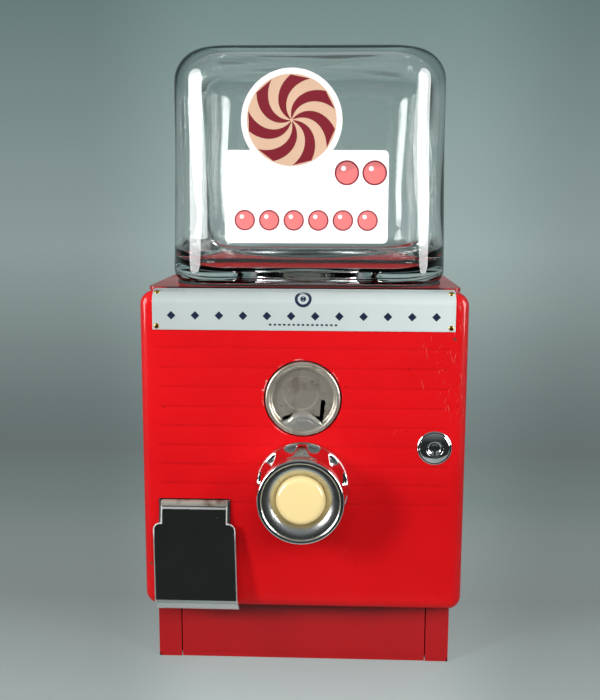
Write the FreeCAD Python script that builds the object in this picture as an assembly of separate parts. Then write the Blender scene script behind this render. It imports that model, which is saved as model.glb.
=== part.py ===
# Countertop candy vending machine: an enamelled steel body with a hinged front door,
# a coin mechanism turned by a knob, a portion wheel under a square glass globe, a chute
# to a delivery flap and a cash box, all on an inset plinth.
# Millimetres. X is to the right seen from the front, Y to the back, Z up. The origin is
# the centre of the stand bolt hole, on the underside of the base.

import math
import os

import FreeCAD
import Part

# Body
BODY_WIDTH = 204.0
BODY_DEPTH = 204.0
BODY_BOTTOM = 40.7
BODY_HEIGHT = 204.9
SHEET = 1.2
CORNER_R = 8.5
EDGE_R = 7.5
DOOR_DEPTH = 9.5
DOOR_SEAM = 0.5

# General fits
RUN_FIT = 0.05
SCREW_FIT = 0.1
SEAT_GAP = 0.3

# Pressed grooves on the door
GROOVE_COUNT = 9
GROOVE_PITCH = 12.4
GROOVE_TOP_DROP = 34.7
GROOVE_RADIUS = 2.6
GROOVE_DEPTH = 0.5
GROOVE_END = 9.0

# Base
BASE_SIDE_INSET = 5.65
BASE_FRONT_INSET = 17.4
BASE_REAR_INSET = 5.65
BASE_RETURN = 15.0
BASE_SEAM = 0.65
BASE_FLANGE = 12.0
PANEL_INSET = 0.4
FLOOR_THICK = 1.5
FOOT_RADIUS = 6.0
FOOT_DROP = 2.0
FOOT_INSET = 9.0
FOOT_EDGE_R = 0.5
STAND_HOLE_R = 5.0
STAND_BOLT_R = 2.6
STAND_BOLT_SPACING = 100.0
BASE_SCREW_R = 2.0
BASE_SCREW_HEAD_R = 3.5
BASE_SCREW_HEAD = 2.0
BASE_SCREW_LENGTH = 6.0

# Top plate and globe
TOP_PLATE_THICK = 2.2
TOP_PLATE_INSET = 4.5
TOP_PLATE_CORNER_R = 6.0
SHELL_TOP_RIM = 14.0
GASKET_THICK = 1.0
GASKET_WIDTH = 9.0
GLOBE_SIDE = 174.0
GLOBE_SHIFT_X = 1.8
GLOBE_HEIGHT = 153.0
GLOBE_CORNER_R = 36.0
GLOBE_TOP_R = 21.0
GLOBE_FOOT_R = 9.0
GLOBE_DOME_RISE = 5.0
GLOBE_WALL = 4.5
GLOBE_SOLE = 7.0
GLOBE_INNER_FOOT_R = 11.0
NECK_RADIUS = 56.0
NECK_BORE_R = 49.0
NECK_LENGTH = 11.0

# Collar and its screws
COLLAR_BORE_R = 59.4
COLLAR_WALL = 2.4
COLLAR_RIM_INSET = 24.0
COLLAR_FLANGE_THICK = 2.0
COLLAR_LENGTH = 13.0
COLLAR_SCREW_R = 2.0
COLLAR_SCREW_HEAD_R = 3.0
COLLAR_SCREW_HEAD = 4.0
COLLAR_SCREW_REACH = 9.0
COLLAR_SCREW_COUNT = 3

# Door hinge: goose-neck arms on pins inside the left wall
HINGE_SIDE_INSET = 6.0
HINGE_BEHIND_SEAM = 14.5
HINGE_PIN_R = 2.0
HINGE_PIN_HEAD_R = 3.2
HINGE_PIN_HEAD = 1.5
HINGE_PIN_TAIL = 1.0
HINGE_BOSS_R = 3.5
ARM_THICK = 3.0
ARM_HEIGHT = 12.0
ARM_REACH = 20.5
ARM_PAD = 18.0
UPPER_ARM_DROP = 20.6
LOWER_ARM_RISE = 4.2
EAR_THICK = 2.0
EAR_HALF_DEPTH = 6.0
BRACKET_PLATE = 1.0
BRACKET_BACK = 12.0

# Nameplate
PLATE_SIDE_GAP = 8.8
PLATE_DROP = 23.5
PLATE_THICK = 0.7
PLATE_WRAP_DEG = 74.0
PLATE_SCREW_INSET = 2.7
PLATE_SCREW_RISE = 2.3
PLATE_SCREW_WRAP_DEG = 58.0
PLATE_SCREW_HEAD_R = 1.7
PLATE_SCREW_HEAD = 0.9
PLATE_SCREW_R = 0.8
PLATE_SCREW_LENGTH = 4.0

# Coin entry plate
COIN_DROP = 66.3
COIN_HOLE_R = 24.3
DISC_R = 23.4
DISC_RIM = 3.2
DISC_PROUD = 1.7
DISC_ROLL = 1.0
DISC_EDGE_PROUD = 0.7
DISH_DEPTH = 2.4
DISH_CONE = 1.0
DISH_SLOPE = 1.0
DISC_THICK = 1.0
COIN_RECESS_R = 10.7
COIN_RECESS_BEHIND = 3.4
COIN_RECESS_RISE = 3.0
COIN_RECESS_X = -1.5
COIN_SLOT_WIDTH = 24.0
COIN_SLOT_HEIGHT = 4.5
COIN_SLOT_DROP = 13.0
RELIEF_WIDTH = 2.5
RELIEF_HEIGHT = 13.0
RELIEF_X = 12.5
LIP_R = 19.5
LIP_DROP = 14.6
LIP_THICK = 0.8
LIP_BEHIND = 0.3
HUMP_R = 12.0
HUMP_PROUD = 3.4
HUMP_DROP = 18.0

# Knob
KNOB_DROP = 56.5
KNOB_GAP = 0.8
KNOB_RING_R = 29.5
KNOB_RING = 3.0
KNOB_RING_EDGE = 0.9
KNOB_BODY_R = 28.6
KNOB_NECK_R = 25.4
KNOB_RIM_R = 26.4
KNOB_RIM_BEAD = 1.4
KNOB_RIM_EDGE = 0.4
KNOB_LENGTH = 33.0
KNOB_WAIST_R = 26.2
KNOB_WAIST = 23.8
KNOB_NECK = 26.1
KNOB_FLARE = 28.4
KNOB_DISH_DEPTH = 5.6
KNOB_HOLLOW_WALL = 5.2
KNOB_BOSS_R = 8.0
KNOB_DISH_FOOT = 1.5
FLUTE_COUNT = 12
FLUTE_R = 7.5
FLUTE_DEPTH = 2.3
FLUTE_START = 5.0
FLUTE_END = 20.5
INSERT_R = 15.2
INSERT_HEIGHT = 3.0
INSERT_DOME = 1.2

# Shaft and coin mechanism
SHAFT_R = 4.0
BUSH_R = 9.9
BUSH_FLANGE_R = 12.0
BUSH_FLANGE = 0.9
COIN_WHEEL_R = 24.0
COIN_WHEEL_THICK = 2.8
COIN_WHEEL_GAP = 1.2
COIN_R = 9.53
COIN_PLAY = 0.4
MECH_BEHIND = 5.2
MECH_THICK = 2.0
MECH_WIDTH = 66.0
MECH_LOW_DROP = 31.8
MECH_HIGH_RISE = 29.7
MECH_WINDOW_R = 18.3
MECH_BOSS_R = 4.5
MECH_BOSS_X = 28.0
MECH_SCREW_R = 1.9
MECH_SCREW_HEAD_R = 3.2
MECH_SCREW_HEAD = 2.0
RATCHET_R = 17.0
RATCHET_ROOT_R = 14.2
RATCHET_TEETH = 12
RATCHET_THICK = 3.0
RATCHET_GAP = 0.7
RATCHET_TOOTH_TIP = 0.08
POST_R = 3.0
POST_OFFSET = 22.0
PAWL_PIN_R = 2.5
PAWL_BOSS_R = 5.2
PAWL_THICK = 2.2
PAWL_TOE = 4.0
PAWL_TOE_LEAN = 1.5
PAWL_HEEL = 2.2
DOG_ANGLE_DEG = 18.0
PAWL_ANGLE_DEG = 150.0
BEARING_THICK = 2.0
BEARING_Y = -66.0
BEARING_SCREW_R = 1.4
BEARING_SCREW_HEAD_R = 2.8
BEARING_SCREW_HEAD = 1.6
BEARING_SCREW_BITE = 5.0
BEARING_MARGIN = 1.0
SHAFT_COLLAR_R = 7.0
SHAFT_COLLAR = 2.5
TRACK_WALL = 1.4
TRACK_LOW_RISE = 24.8
TRACK_HEIGHT = 7.6

# Gears: a pinion under a crown gear
PINION_TEETH = 12
CROWN_TEETH = 48
PINION_PITCH_R = 13.5
PINION_FACE = 6.0
TOOTH_REACH = 1.6
TOOTH_GAP = 0.4
PINION_TOOTH = 2.5
CROWN_TOOTH = 2.7
PRESSURE_DEG = 20.0
CROWN_BACK = 2.7
TOOTH_BITE = 0.5
TOOTH_TRIM = 0.1

# Portion wheel and what carries it
WHEEL_PLAY = 1.2
WHEEL_THICK = 11.0
CAVITY_COUNT = 8
CAVITY_R = 8.5
CAVITY_PITCH_R = 36.0
AXLE_R = 4.0
AXLE_TAIL = 2.0
DROP_HOLE_R = 9.5
WHEEL_FLOOR_R = 49.0
WHEEL_FLOOR_THICK = 2.3
HUB_R = 13.0
BAR_WIDTH = 20.0
BAR_THICK = 3.0
BAR_FLANGE = 14.0
BAR_DROP = 2.8
BAR_SCREW_R = 1.9
BAR_SCREW_HEAD_R = 3.4
BAR_SCREW_HEAD = 2.0
AXLE_CLIP_R = 7.0
AXLE_CLIP = 1.6
AGITATOR_HUB_R = 8.0
AGITATOR_HUB = 9.0
AGITATOR_ARM_R = 1.6
AGITATOR_REACH = 42.0
AGITATOR_RISE = 14.0
HOPPER_WALL = 1.2
HOPPER_LAP = 5.0
GUARD_THICK = 1.2
GUARD_LIFT = 1.0
GUARD_INNER_R = 22.0
GUARD_HALF_DEG = 19.0
GUARD_TAB = 14.0
BRUSH_THICK = 4.0
BRUSH_HEIGHT = 7.0
DROP_ANGLE_DEG = 225.0

# Chute, spout and flap
FLAP_MID_GAP = 35.2
FLAP_SIDE_ROOM = 49.6
CUTOUT_SIDE_GAP = 1.6
CUTOUT_HEIGHT = 63.4
CUTOUT_RISE = 9.8
SPOUT_WALL = 1.0
SPOUT_FLANGE = 5.0
SPOUT_BEHIND = 8.0
FLAP_PIN_RISE = 69.3
FLAP_PIN_BEHIND = 0.5
FLAP_PIN_R = 1.2
FLAP_ROLL_R = 3.0
FLAP_THICK = 1.1
FLAP_LEAN_DEG = 10.0
FLAP_NECK_STEP = 5.0
FLAP_NECK_LENGTH = 11.8
FLAP_SHOULDER_R = 4.4
FLAP_LENGTH = 61.8
LIP_LENGTH = 11.2
LIP_TURN_DEG = 52.0
CHUTE_WALL = 1.0
CHUTE_RISE = 17.3
CHUTE_MOUTH = 45.0
CHUTE_SIDE_GAP = 1.8
CHUTE_TOP_WIDTH = 28.0
CHUTE_TOP_DROP = 6.5
CHUTE_GAP = 0.6

# Lock
LOCK_SIDE_INSET = 19.7
LOCK_RISE = 26.1
LOCK_FLANGE_R = 11.0
LOCK_FLANGE = 3.2
LOCK_BODY_R = 9.4
LOCK_LENGTH = 17.0
LOCK_NUT_R = 13.0
LOCK_NUT = 3.0
PLUG_R = 4.8
PLUG_SUNK = 0.6
KEYWAY_WIDTH = 1.4
KEYWAY_HEIGHT = 6.4
KEYWAY_DEPTH = 8.0
CAM_THICK = 1.8
CAM_WIDTH = 9.0
CAM_LENGTH = 16.3
CAM_HUB_R = 6.8
CAM_SCREW_R = 1.8
CAM_SCREW_LENGTH = 5.0
CAM_SCREW_HEAD_R = 6.2
CAM_SCREW_HEAD = 1.6
STRIKE_THICK = 1.6
STRIKE_REACH = 7.6
STRIKE_HEIGHT = 16.0
STRIKE_FLANGE = 16.0
STRIKE_CLEAR = 1.2

# Cash box
BOX_LEFT_X = -30.0
BOX_SIDE_CLEAR = 22.0
BOX_FRONT_CLEAR = 2.0
BOX_DEPTH = 150.0
BOX_HEIGHT = 42.0
BOX_WALL = 1.0
BOX_RIM = 3.0

# Places that follow from the sizes above
SIDE_X = BODY_WIDTH / 2
FRONT_Y = -BODY_DEPTH / 2
BACK_Y = BODY_DEPTH / 2
BODY_TOP = BODY_BOTTOM + BODY_HEIGHT
BASE_WIDTH = BODY_WIDTH - 2 * BASE_SIDE_INSET
GROOVE_TOP_Z = BODY_TOP - GROOVE_TOP_DROP
PLATE_WIDTH = BODY_WIDTH - 2 * PLATE_SIDE_GAP
PLATE_BOTTOM_Z = BODY_TOP - PLATE_DROP
COIN_Z = BODY_TOP - COIN_DROP
KNOB_Z = COIN_Z - KNOB_DROP
HINGE_X = HINGE_SIDE_INSET - SIDE_X
UPPER_ARM_Z = BODY_TOP - UPPER_ARM_DROP
LOWER_ARM_Z = KNOB_Z + LOWER_ARM_RISE
MECH_LOW_Z = KNOB_Z - MECH_LOW_DROP
MECH_HIGH_Z = COIN_Z + MECH_HIGH_RISE
TRACK_LOW_Z = KNOB_Z + TRACK_LOW_RISE
TRACK_HIGH_Z = TRACK_LOW_Z + TRACK_HEIGHT
LOCK_X = SIDE_X - LOCK_SIDE_INSET
LOCK_Z = KNOB_Z + LOCK_RISE
FLAP_X = -(SIDE_X + FLAP_MID_GAP) / 2
FLAP_WIDTH = SIDE_X - FLAP_SIDE_ROOM
FLAP_NECK_WIDTH = FLAP_WIDTH - 2 * FLAP_NECK_STEP
CUTOUT_WIDTH = FLAP_NECK_WIDTH + 2 * CUTOUT_SIDE_GAP
CHUTE_MOUTH_WIDTH = CUTOUT_WIDTH - 2 * CHUTE_SIDE_GAP
FLAP_PIN_Z = BODY_BOTTOM + FLAP_PIN_RISE
CUTOUT_BOTTOM_Z = BODY_BOTTOM + CUTOUT_RISE
CUTOUT_TOP_Z = CUTOUT_BOTTOM_Z + CUTOUT_HEIGHT
CHUTE_LOW_Z = BODY_BOTTOM + CHUTE_RISE
BOX_RIGHT_X = SIDE_X - BOX_SIDE_CLEAR
SHELL_FRONT_Y = FRONT_Y + DOOR_DEPTH + DOOR_SEAM
DOOR_INNER_Y = FRONT_Y + SHEET
CABINET_FLOOR_Z = BODY_BOTTOM + SHEET
PLATE_TOP_Z = BODY_TOP + TOP_PLATE_THICK
GLOBE_BOTTOM_Z = PLATE_TOP_Z + GASKET_THICK
HINGE_Y = FRONT_Y + DOOR_DEPTH + HINGE_BEHIND_SEAM
MECH_Y = DOOR_INNER_Y + MECH_BEHIND
MECH_BACK_Y = MECH_Y + MECH_THICK
COIN_WHEEL_Y = MECH_Y - COIN_WHEEL_GAP - COIN_WHEEL_THICK
RATCHET_Y = MECH_BACK_Y + RATCHET_GAP
CROWN_PITCH_R = PINION_PITCH_R * CROWN_TEETH / PINION_TEETH
PINION_Y = -CROWN_PITCH_R
MESH_Z = KNOB_Z + PINION_PITCH_R
CROWN_ROOT_Z = MESH_Z + TOOTH_REACH + TOOTH_GAP
WHEEL_BOTTOM_Z = CROWN_ROOT_Z + CROWN_BACK
WHEEL_TOP_Z = WHEEL_BOTTOM_Z + WHEEL_THICK
WHEEL_FLOOR_TOP_Z = WHEEL_BOTTOM_Z - SEAT_GAP
BAR_TOP_Z = MESH_Z - BAR_DROP
CHUTE_TOP_Z = BAR_TOP_Z - CHUTE_TOP_DROP
BAR_SCREW_Z = BAR_TOP_Z - BAR_FLANGE / 2 - BAR_THICK / 2
COLLAR_TOP_Z = BODY_TOP
COLLAR_FLANGE_R = min(BODY_WIDTH, BODY_DEPTH) / 2 - COLLAR_RIM_INSET
HOPPER_TOP_Z = COLLAR_TOP_Z - COLLAR_LENGTH + HOPPER_LAP
HOPPER_R = COLLAR_BORE_R + COLLAR_WALL + RUN_FIT
WHEEL_R = HOPPER_R - WHEEL_PLAY
FLAP_PIN_Y = FRONT_Y + FLAP_PIN_BEHIND
LOCK_CAM_Y = FRONT_Y + LOCK_LENGTH + SEAT_GAP

X_AXIS = FreeCAD.Vector(1, 0, 0)
Y_AXIS = FreeCAD.Vector(0, 1, 0)
Z_AXIS = FreeCAD.Vector(0, 0, 1)


def point(x, y, z):
    return FreeCAD.Vector(x, y, z)


def block(x, y, z):
    """A box from (low, high) pairs along each axis."""
    return Part.makeBox(x[1] - x[0], y[1] - y[0], z[1] - z[0], point(x[0], y[0], z[0]))


def rod(radius, base, direction, length):
    return Part.makeCylinder(radius, length, base, direction)


def tube(outer, inner, base, direction, length):
    wall = rod(outer, base, direction, length)
    return wall.cut(rod(inner, base, direction, length))


def prism(corners, direction):
    """A straight prism on a closed outline of points."""
    outline = Part.makePolygon(corners + [corners[0]])
    return Part.Face(outline).extrude(direction)


def edges_along(shape, axis):
    """The straight edges that run along one axis."""
    found = []
    for edge in shape.Edges:
        straight = isinstance(edge.Curve, Part.Line)
        if straight and abs(abs(edge.tangentAt(edge.FirstParameter).dot(axis)) - 1) < 1e-6:
            found.append(edge)
    return found


def edges_in_plane(shape, axis, level):
    """The edges that lie in the plane where the coordinate along axis is level."""
    found = []
    for edge in shape.Edges:
        box = edge.BoundBox
        low = point(box.XMin, box.YMin, box.ZMin).dot(axis)
        high = point(box.XMax, box.YMax, box.ZMax).dot(axis)
        if abs(low - level) < 1e-4 and abs(high - level) < 1e-4:
            found.append(edge)
    return found


def pressed_pan(x, y, z, corner, edge, closed_y):
    """A block with corners rounded along Y and a rolled edge round its closed end."""
    solid = block(x, y, z)
    solid = solid.makeFillet(corner, edges_along(solid, Y_AXIS))
    return solid.makeFillet(edge, edges_in_plane(solid, Y_AXIS, closed_y))


def turned(profile, base, direction):
    """A turned solid: profile is (radius, distance along direction) points from the axis."""
    corners = [FreeCAD.Vector(radius, 0, along) for radius, along in profile]
    outline = Part.makePolygon(corners + [corners[0]])
    solid = Part.Face(outline).revolve(FreeCAD.Vector(), Z_AXIS, 360)
    solid.Placement = FreeCAD.Placement(base, FreeCAD.Rotation(Z_AXIS, direction))
    return solid


def round_screw(head, direction, shank_radius, shank_length, head_radius, head_height):
    """A round-head screw whose head's underside is at the point head."""
    shank = rod(shank_radius, head, direction * -1, shank_length)
    ball_radius = (head_radius ** 2 + head_height ** 2) / (2 * head_height)
    ball = Part.makeSphere(ball_radius, head + direction * (head_height - ball_radius), direction)
    cap = ball.common(rod(head_radius, head, direction, head_height))
    return shank.fuse(cap).removeSplitter()


def save(name, *solids):
    """Write one sub-part: one solid, or a group of separate ones."""
    shape = solids[0] if len(solids) == 1 else Part.makeCompound(list(solids))
    shape.exportStep("parts/" + name + ".step")
    box = shape.BoundBox
    print(name, len(shape.Solids), shape.isValid(),
          [round(v, 2) for v in (box.XMin, box.YMin, box.ZMin, box.XMax, box.YMax, box.ZMax)])


# Cabinet

def base_screw_places():
    """The four screws that hold the base channels under the cabinet."""
    x = BASE_WIDTH / 2 - SHEET - BASE_FLANGE / 2
    front = FRONT_Y + BASE_FRONT_INSET + BASE_FLANGE
    back = BACK_Y - BASE_REAR_INSET - BASE_FLANGE
    return [(side * x, y) for side in (-1, 1) for y in (front, back)]


def cabinet_shell():
    """Sides, back, floor and top rim in one pressed sheet, open at the front."""
    outer = pressed_pan((-SIDE_X, SIDE_X), (SHELL_FRONT_Y, BACK_Y), (BODY_BOTTOM, BODY_TOP),
                        CORNER_R, EDGE_R, BACK_Y)
    inner = pressed_pan((-SIDE_X + SHEET, SIDE_X - SHEET), (SHELL_FRONT_Y, BACK_Y - SHEET),
                        (BODY_BOTTOM + SHEET, BODY_TOP - SHEET),
                        CORNER_R - SHEET, EDGE_R - SHEET, BACK_Y - SHEET)
    shell = outer.cut(inner)
    rim_x = SIDE_X - SHELL_TOP_RIM
    top_hole = block((-rim_x, rim_x), (SHELL_FRONT_Y + SHELL_TOP_RIM, BACK_Y - SHELL_TOP_RIM),
                     (BODY_TOP - 2 * SHEET, BODY_TOP + SHEET))
    shell = shell.cut(top_hole)
    for x, y in base_screw_places():
        shell = shell.cut(rod(BASE_SCREW_R + SCREW_FIT, point(x, y, BODY_BOTTOM - SHEET),
                              Z_AXIS, 3 * SHEET))
    return shell.cut(rod(BAR_SCREW_R + SCREW_FIT, point(-SIDE_X, 0, BAR_SCREW_Z), X_AXIS, BODY_WIDTH))


def top_plate():
    """The flat plate that covers the cabinet and carries the globe."""
    x = SIDE_X - TOP_PLATE_INSET
    plate = block((-x, x), (SHELL_FRONT_Y, BACK_Y - TOP_PLATE_INSET), (BODY_TOP, PLATE_TOP_Z))
    plate = plate.makeFillet(TOP_PLATE_CORNER_R, edges_along(plate, Z_AXIS))
    hole = rod(COLLAR_BORE_R, point(0, 0, BODY_TOP), Z_AXIS, TOP_PLATE_THICK)
    return plate.cut(hole)


def base_channel(side):
    """One side of the base: a wall with front, rear and top returns."""
    outer_x = BASE_WIDTH / 2
    inner_x = outer_x - BASE_RETURN
    front = FRONT_Y + BASE_FRONT_INSET
    back = BACK_Y - BASE_REAR_INSET
    outer = block((inner_x, outer_x), (front, back), (0, BODY_BOTTOM))
    inner = block((inner_x, outer_x - SHEET), (front + SHEET, back - SHEET),
                  (0, BODY_BOTTOM - SHEET))
    channel = outer.cut(inner)
    for x, y in base_screw_places():
        if x > 0:
            channel = channel.cut(rod(BASE_SCREW_R + SCREW_FIT, point(x, y, 0), Z_AXIS, BODY_BOTTOM))
    if side < 0:
        channel = channel.mirror(FreeCAD.Vector(), X_AXIS)
    return channel


def base_panel(at_front):
    """A front or rear panel between the channels, with a top flange under the cabinet."""
    x = BASE_WIDTH / 2 - BASE_RETURN - BASE_SEAM
    if at_front:
        y = FRONT_Y + BASE_FRONT_INSET + PANEL_INSET
        wall = block((-x, x), (y, y + SHEET), (FLOOR_THICK, BODY_BOTTOM))
        flange = block((-x, x), (y, y + BASE_FLANGE), (BODY_BOTTOM - SHEET, BODY_BOTTOM))
    else:
        y = BACK_Y - BASE_REAR_INSET - PANEL_INSET
        wall = block((-x, x), (y - SHEET, y), (FLOOR_THICK, BODY_BOTTOM))
        flange = block((-x, x), (y - BASE_FLANGE, y), (BODY_BOTTOM - SHEET, BODY_BOTTOM))
    return wall.fuse(flange).removeSplitter()


def base_floor():
    """The plate between the channels, with the stand holes."""
    x = BASE_WIDTH / 2 - SHEET
    front = FRONT_Y + BASE_FRONT_INSET + SHEET
    back = BACK_Y - BASE_REAR_INSET - SHEET
    plate = block((-x, x), (front, back), (0, FLOOR_THICK))
    plate = plate.cut(rod(STAND_HOLE_R, point(0, 0, 0), Z_AXIS, FLOOR_THICK))
    half = STAND_BOLT_SPACING / 2
    for x_hole in (-half, half):
        for y_hole in (-half, half):
            plate = plate.cut(rod(STAND_BOLT_R, point(x_hole, y_hole, 0), Z_AXIS, FLOOR_THICK))
    return plate


def rubber_feet():
    """Four round feet under the base floor."""
    feet = []
    x = BASE_WIDTH / 2 - SHEET - FOOT_INSET
    front = FRONT_Y + BASE_FRONT_INSET + SHEET + FOOT_INSET
    back = BACK_Y - BASE_REAR_INSET - SHEET - FOOT_INSET
    for side in (-1, 1):
        for y in (front, back):
            foot = rod(FOOT_RADIUS, point(side * x, y, -FOOT_DROP), Z_AXIS, FOOT_DROP)
            feet.append(foot.makeFillet(FOOT_EDGE_R, edges_in_plane(foot, Z_AXIS, -FOOT_DROP)))
    return feet


def base_screws():
    return [round_screw(point(x, y, CABINET_FLOOR_Z), Z_AXIS, BASE_SCREW_R, BASE_SCREW_LENGTH,
                        BASE_SCREW_HEAD_R, BASE_SCREW_HEAD) for x, y in base_screw_places()]


def lock_strike():
    """The bracket on the right wall that the lock's cam turns behind."""
    wall_x = SIDE_X - SHEET
    tongue_y = LOCK_CAM_Y - STRIKE_CLEAR - STRIKE_THICK
    z = (LOCK_Z - STRIKE_HEIGHT / 2, LOCK_Z + STRIKE_HEIGHT / 2)
    flange = block((wall_x - BRACKET_PLATE, wall_x), (tongue_y, tongue_y + STRIKE_FLANGE), z)
    tongue = block((wall_x - STRIKE_REACH, wall_x), (tongue_y, tongue_y + STRIKE_THICK), z)
    return flange.fuse(tongue).removeSplitter()


def hinge_bracket(z_middle):
    """A bracket on the left wall with two ears for a hinge pin."""
    wall_x = -SIDE_X + SHEET
    half = ARM_HEIGHT / 2 + SEAT_GAP
    y = (HINGE_Y - EAR_HALF_DEPTH, HINGE_Y + EAR_HALF_DEPTH + BRACKET_BACK)
    bracket = block((wall_x, wall_x + BRACKET_PLATE), y,
                    (z_middle - half - EAR_THICK, z_middle + half + EAR_THICK))
    ear_x = (wall_x, HINGE_X + HINGE_PIN_R + EAR_THICK)
    ear_y = (HINGE_Y - EAR_HALF_DEPTH, HINGE_Y + EAR_HALF_DEPTH)
    for low in (z_middle - half - EAR_THICK, z_middle + half):
        bracket = bracket.fuse(block(ear_x, ear_y, (low, low + EAR_THICK)))
    hole = rod(HINGE_PIN_R + RUN_FIT, point(HINGE_X, HINGE_Y, z_middle - 2 * half), Z_AXIS, 4 * half)
    return bracket.removeSplitter().cut(hole)


def hinge_pins():
    """Two headed pins, one in each bracket."""
    pins = []
    half = ARM_HEIGHT / 2 + SEAT_GAP + EAR_THICK
    for z_middle in (LOWER_ARM_Z, UPPER_ARM_Z):
        pin = rod(HINGE_PIN_R, point(HINGE_X, HINGE_Y, z_middle - half - HINGE_PIN_TAIL), Z_AXIS,
                  2 * half + HINGE_PIN_TAIL)
        head = rod(HINGE_PIN_HEAD_R, point(HINGE_X, HINGE_Y, z_middle + half), Z_AXIS, HINGE_PIN_HEAD)
        pins.append(pin.fuse(head).removeSplitter())
    return pins


def cash_box():
    """An open tray with a folded rim, standing on the cabinet floor."""
    x = (BOX_LEFT_X, BOX_RIGHT_X)
    y = (SHELL_FRONT_Y + BOX_FRONT_CLEAR, SHELL_FRONT_Y + BOX_FRONT_CLEAR + BOX_DEPTH)
    z = (CABINET_FLOOR_Z, CABINET_FLOOR_Z + BOX_HEIGHT)
    box = block(x, y, z)
    rim = block((x[0] - BOX_WALL, x[1] + BOX_WALL), (y[0] - BOX_WALL, y[1] + BOX_WALL),
                (z[1] - BOX_RIM, z[1]))
    hollow = block((x[0] + BOX_WALL, x[1] - BOX_WALL), (y[0] + BOX_WALL, y[1] - BOX_WALL),
                   (z[0] + BOX_WALL, z[1]))
    return box.fuse(rim).removeSplitter().cut(hollow)


# Globe and hopper

def rounded_jar(side, low_z, high_z, corner, top, foot, rise):
    """A square jar block with round corners, a low dome and rounded top and foot edges."""
    half = side / 2
    x = (GLOBE_SHIFT_X - half, GLOBE_SHIFT_X + half)
    jar = block(x, (-half, half), (low_z, high_z))
    jar = jar.makeFillet(corner, edges_along(jar, Z_AXIS))
    ball_radius = half ** 2 / (2 * rise)
    jar = jar.common(Part.makeSphere(ball_radius, point(GLOBE_SHIFT_X, 0, high_z - ball_radius)))
    jar = jar.makeFillet(foot, edges_in_plane(jar, Z_AXIS, low_z))
    crown = [edge for edge in jar.Edges if edge.BoundBox.ZMin > high_z - 4 * rise]
    return jar.makeFillet(top, crown)


def globe():
    """The glass: a closed-top square jar, open through a round neck below."""
    top_z = GLOBE_BOTTOM_Z + GLOBE_HEIGHT
    outer = rounded_jar(GLOBE_SIDE, GLOBE_BOTTOM_Z, top_z,
                        GLOBE_CORNER_R, GLOBE_TOP_R, GLOBE_FOOT_R, GLOBE_DOME_RISE)
    inner = rounded_jar(GLOBE_SIDE - 2 * GLOBE_WALL, GLOBE_BOTTOM_Z + GLOBE_SOLE,
                        top_z - GLOBE_WALL, GLOBE_CORNER_R - GLOBE_WALL,
                        GLOBE_TOP_R - GLOBE_WALL, GLOBE_INNER_FOOT_R, GLOBE_DOME_RISE)
    neck_z = GLOBE_BOTTOM_Z - NECK_LENGTH
    neck = rod(NECK_RADIUS, point(GLOBE_SHIFT_X, 0, neck_z), Z_AXIS, NECK_LENGTH + GLOBE_SOLE / 2)
    bore = rod(NECK_BORE_R, point(GLOBE_SHIFT_X, 0, neck_z), Z_AXIS, NECK_LENGTH + 2 * GLOBE_SOLE)
    return outer.fuse(neck).removeSplitter().cut(inner).cut(bore)


def globe_gasket():
    """A flat ring on the top plate under the globe's sole."""
    outer = COLLAR_BORE_R + GASKET_WIDTH
    return tube(outer, COLLAR_BORE_R, point(0, 0, PLATE_TOP_Z), Z_AXIS, GASKET_THICK)


def globe_collar():
    """A flanged ring under the top plate, round the globe's neck."""
    flange = tube(COLLAR_FLANGE_R, COLLAR_BORE_R, point(0, 0, COLLAR_TOP_Z - COLLAR_FLANGE_THICK),
                  Z_AXIS, COLLAR_FLANGE_THICK)
    skirt = tube(COLLAR_BORE_R + COLLAR_WALL, COLLAR_BORE_R,
                 point(0, 0, COLLAR_TOP_Z - COLLAR_LENGTH), Z_AXIS, COLLAR_LENGTH)
    collar = flange.fuse(skirt).removeSplitter()
    for direction in collar_screw_directions():
        collar = collar.cut(rod(COLLAR_SCREW_R + SCREW_FIT, collar_screw_axis(0, direction),
                                direction, COLLAR_FLANGE_R))
    return collar


def collar_screw_directions():
    turns = [90 + 360 * n / COLLAR_SCREW_COUNT for n in range(COLLAR_SCREW_COUNT)]
    return [point(math.cos(math.radians(t)), math.sin(math.radians(t)), 0) for t in turns]


def collar_screw_axis(radius, direction):
    height = COLLAR_TOP_Z - COLLAR_FLANGE_THICK - COLLAR_SCREW_HEAD_R - SEAT_GAP
    return point(0, 0, height) + direction * radius


def collar_screws():
    """Screws turned in until they nearly touch the neck, which sits a little to the right."""
    screws = []
    for direction in collar_screw_directions():
        along = GLOBE_SHIFT_X * direction.x
        across = GLOBE_SHIFT_X * direction.y
        neck = along + math.sqrt(NECK_RADIUS ** 2 - across ** 2)
        tip = neck + SEAT_GAP
        head = COLLAR_BORE_R + COLLAR_SCREW_REACH
        shank = rod(COLLAR_SCREW_R, collar_screw_axis(tip, direction), direction, head - tip)
        grip = rod(COLLAR_SCREW_HEAD_R, collar_screw_axis(head, direction), direction,
                   COLLAR_SCREW_HEAD)
        screws.append(shank.fuse(grip).removeSplitter())
    return screws


def hopper():
    """A straight tube from the collar down round the portion wheel."""
    outer = HOPPER_R + HOPPER_WALL
    low = WHEEL_BOTTOM_Z + SEAT_GAP
    return tube(outer, HOPPER_R, point(0, 0, low), Z_AXIS, HOPPER_TOP_Z - low)


# Portion wheel

def drop_place():
    angle = math.radians(DROP_ANGLE_DEG)
    return CAVITY_PITCH_R * math.cos(angle), CAVITY_PITCH_R * math.sin(angle)


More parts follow.
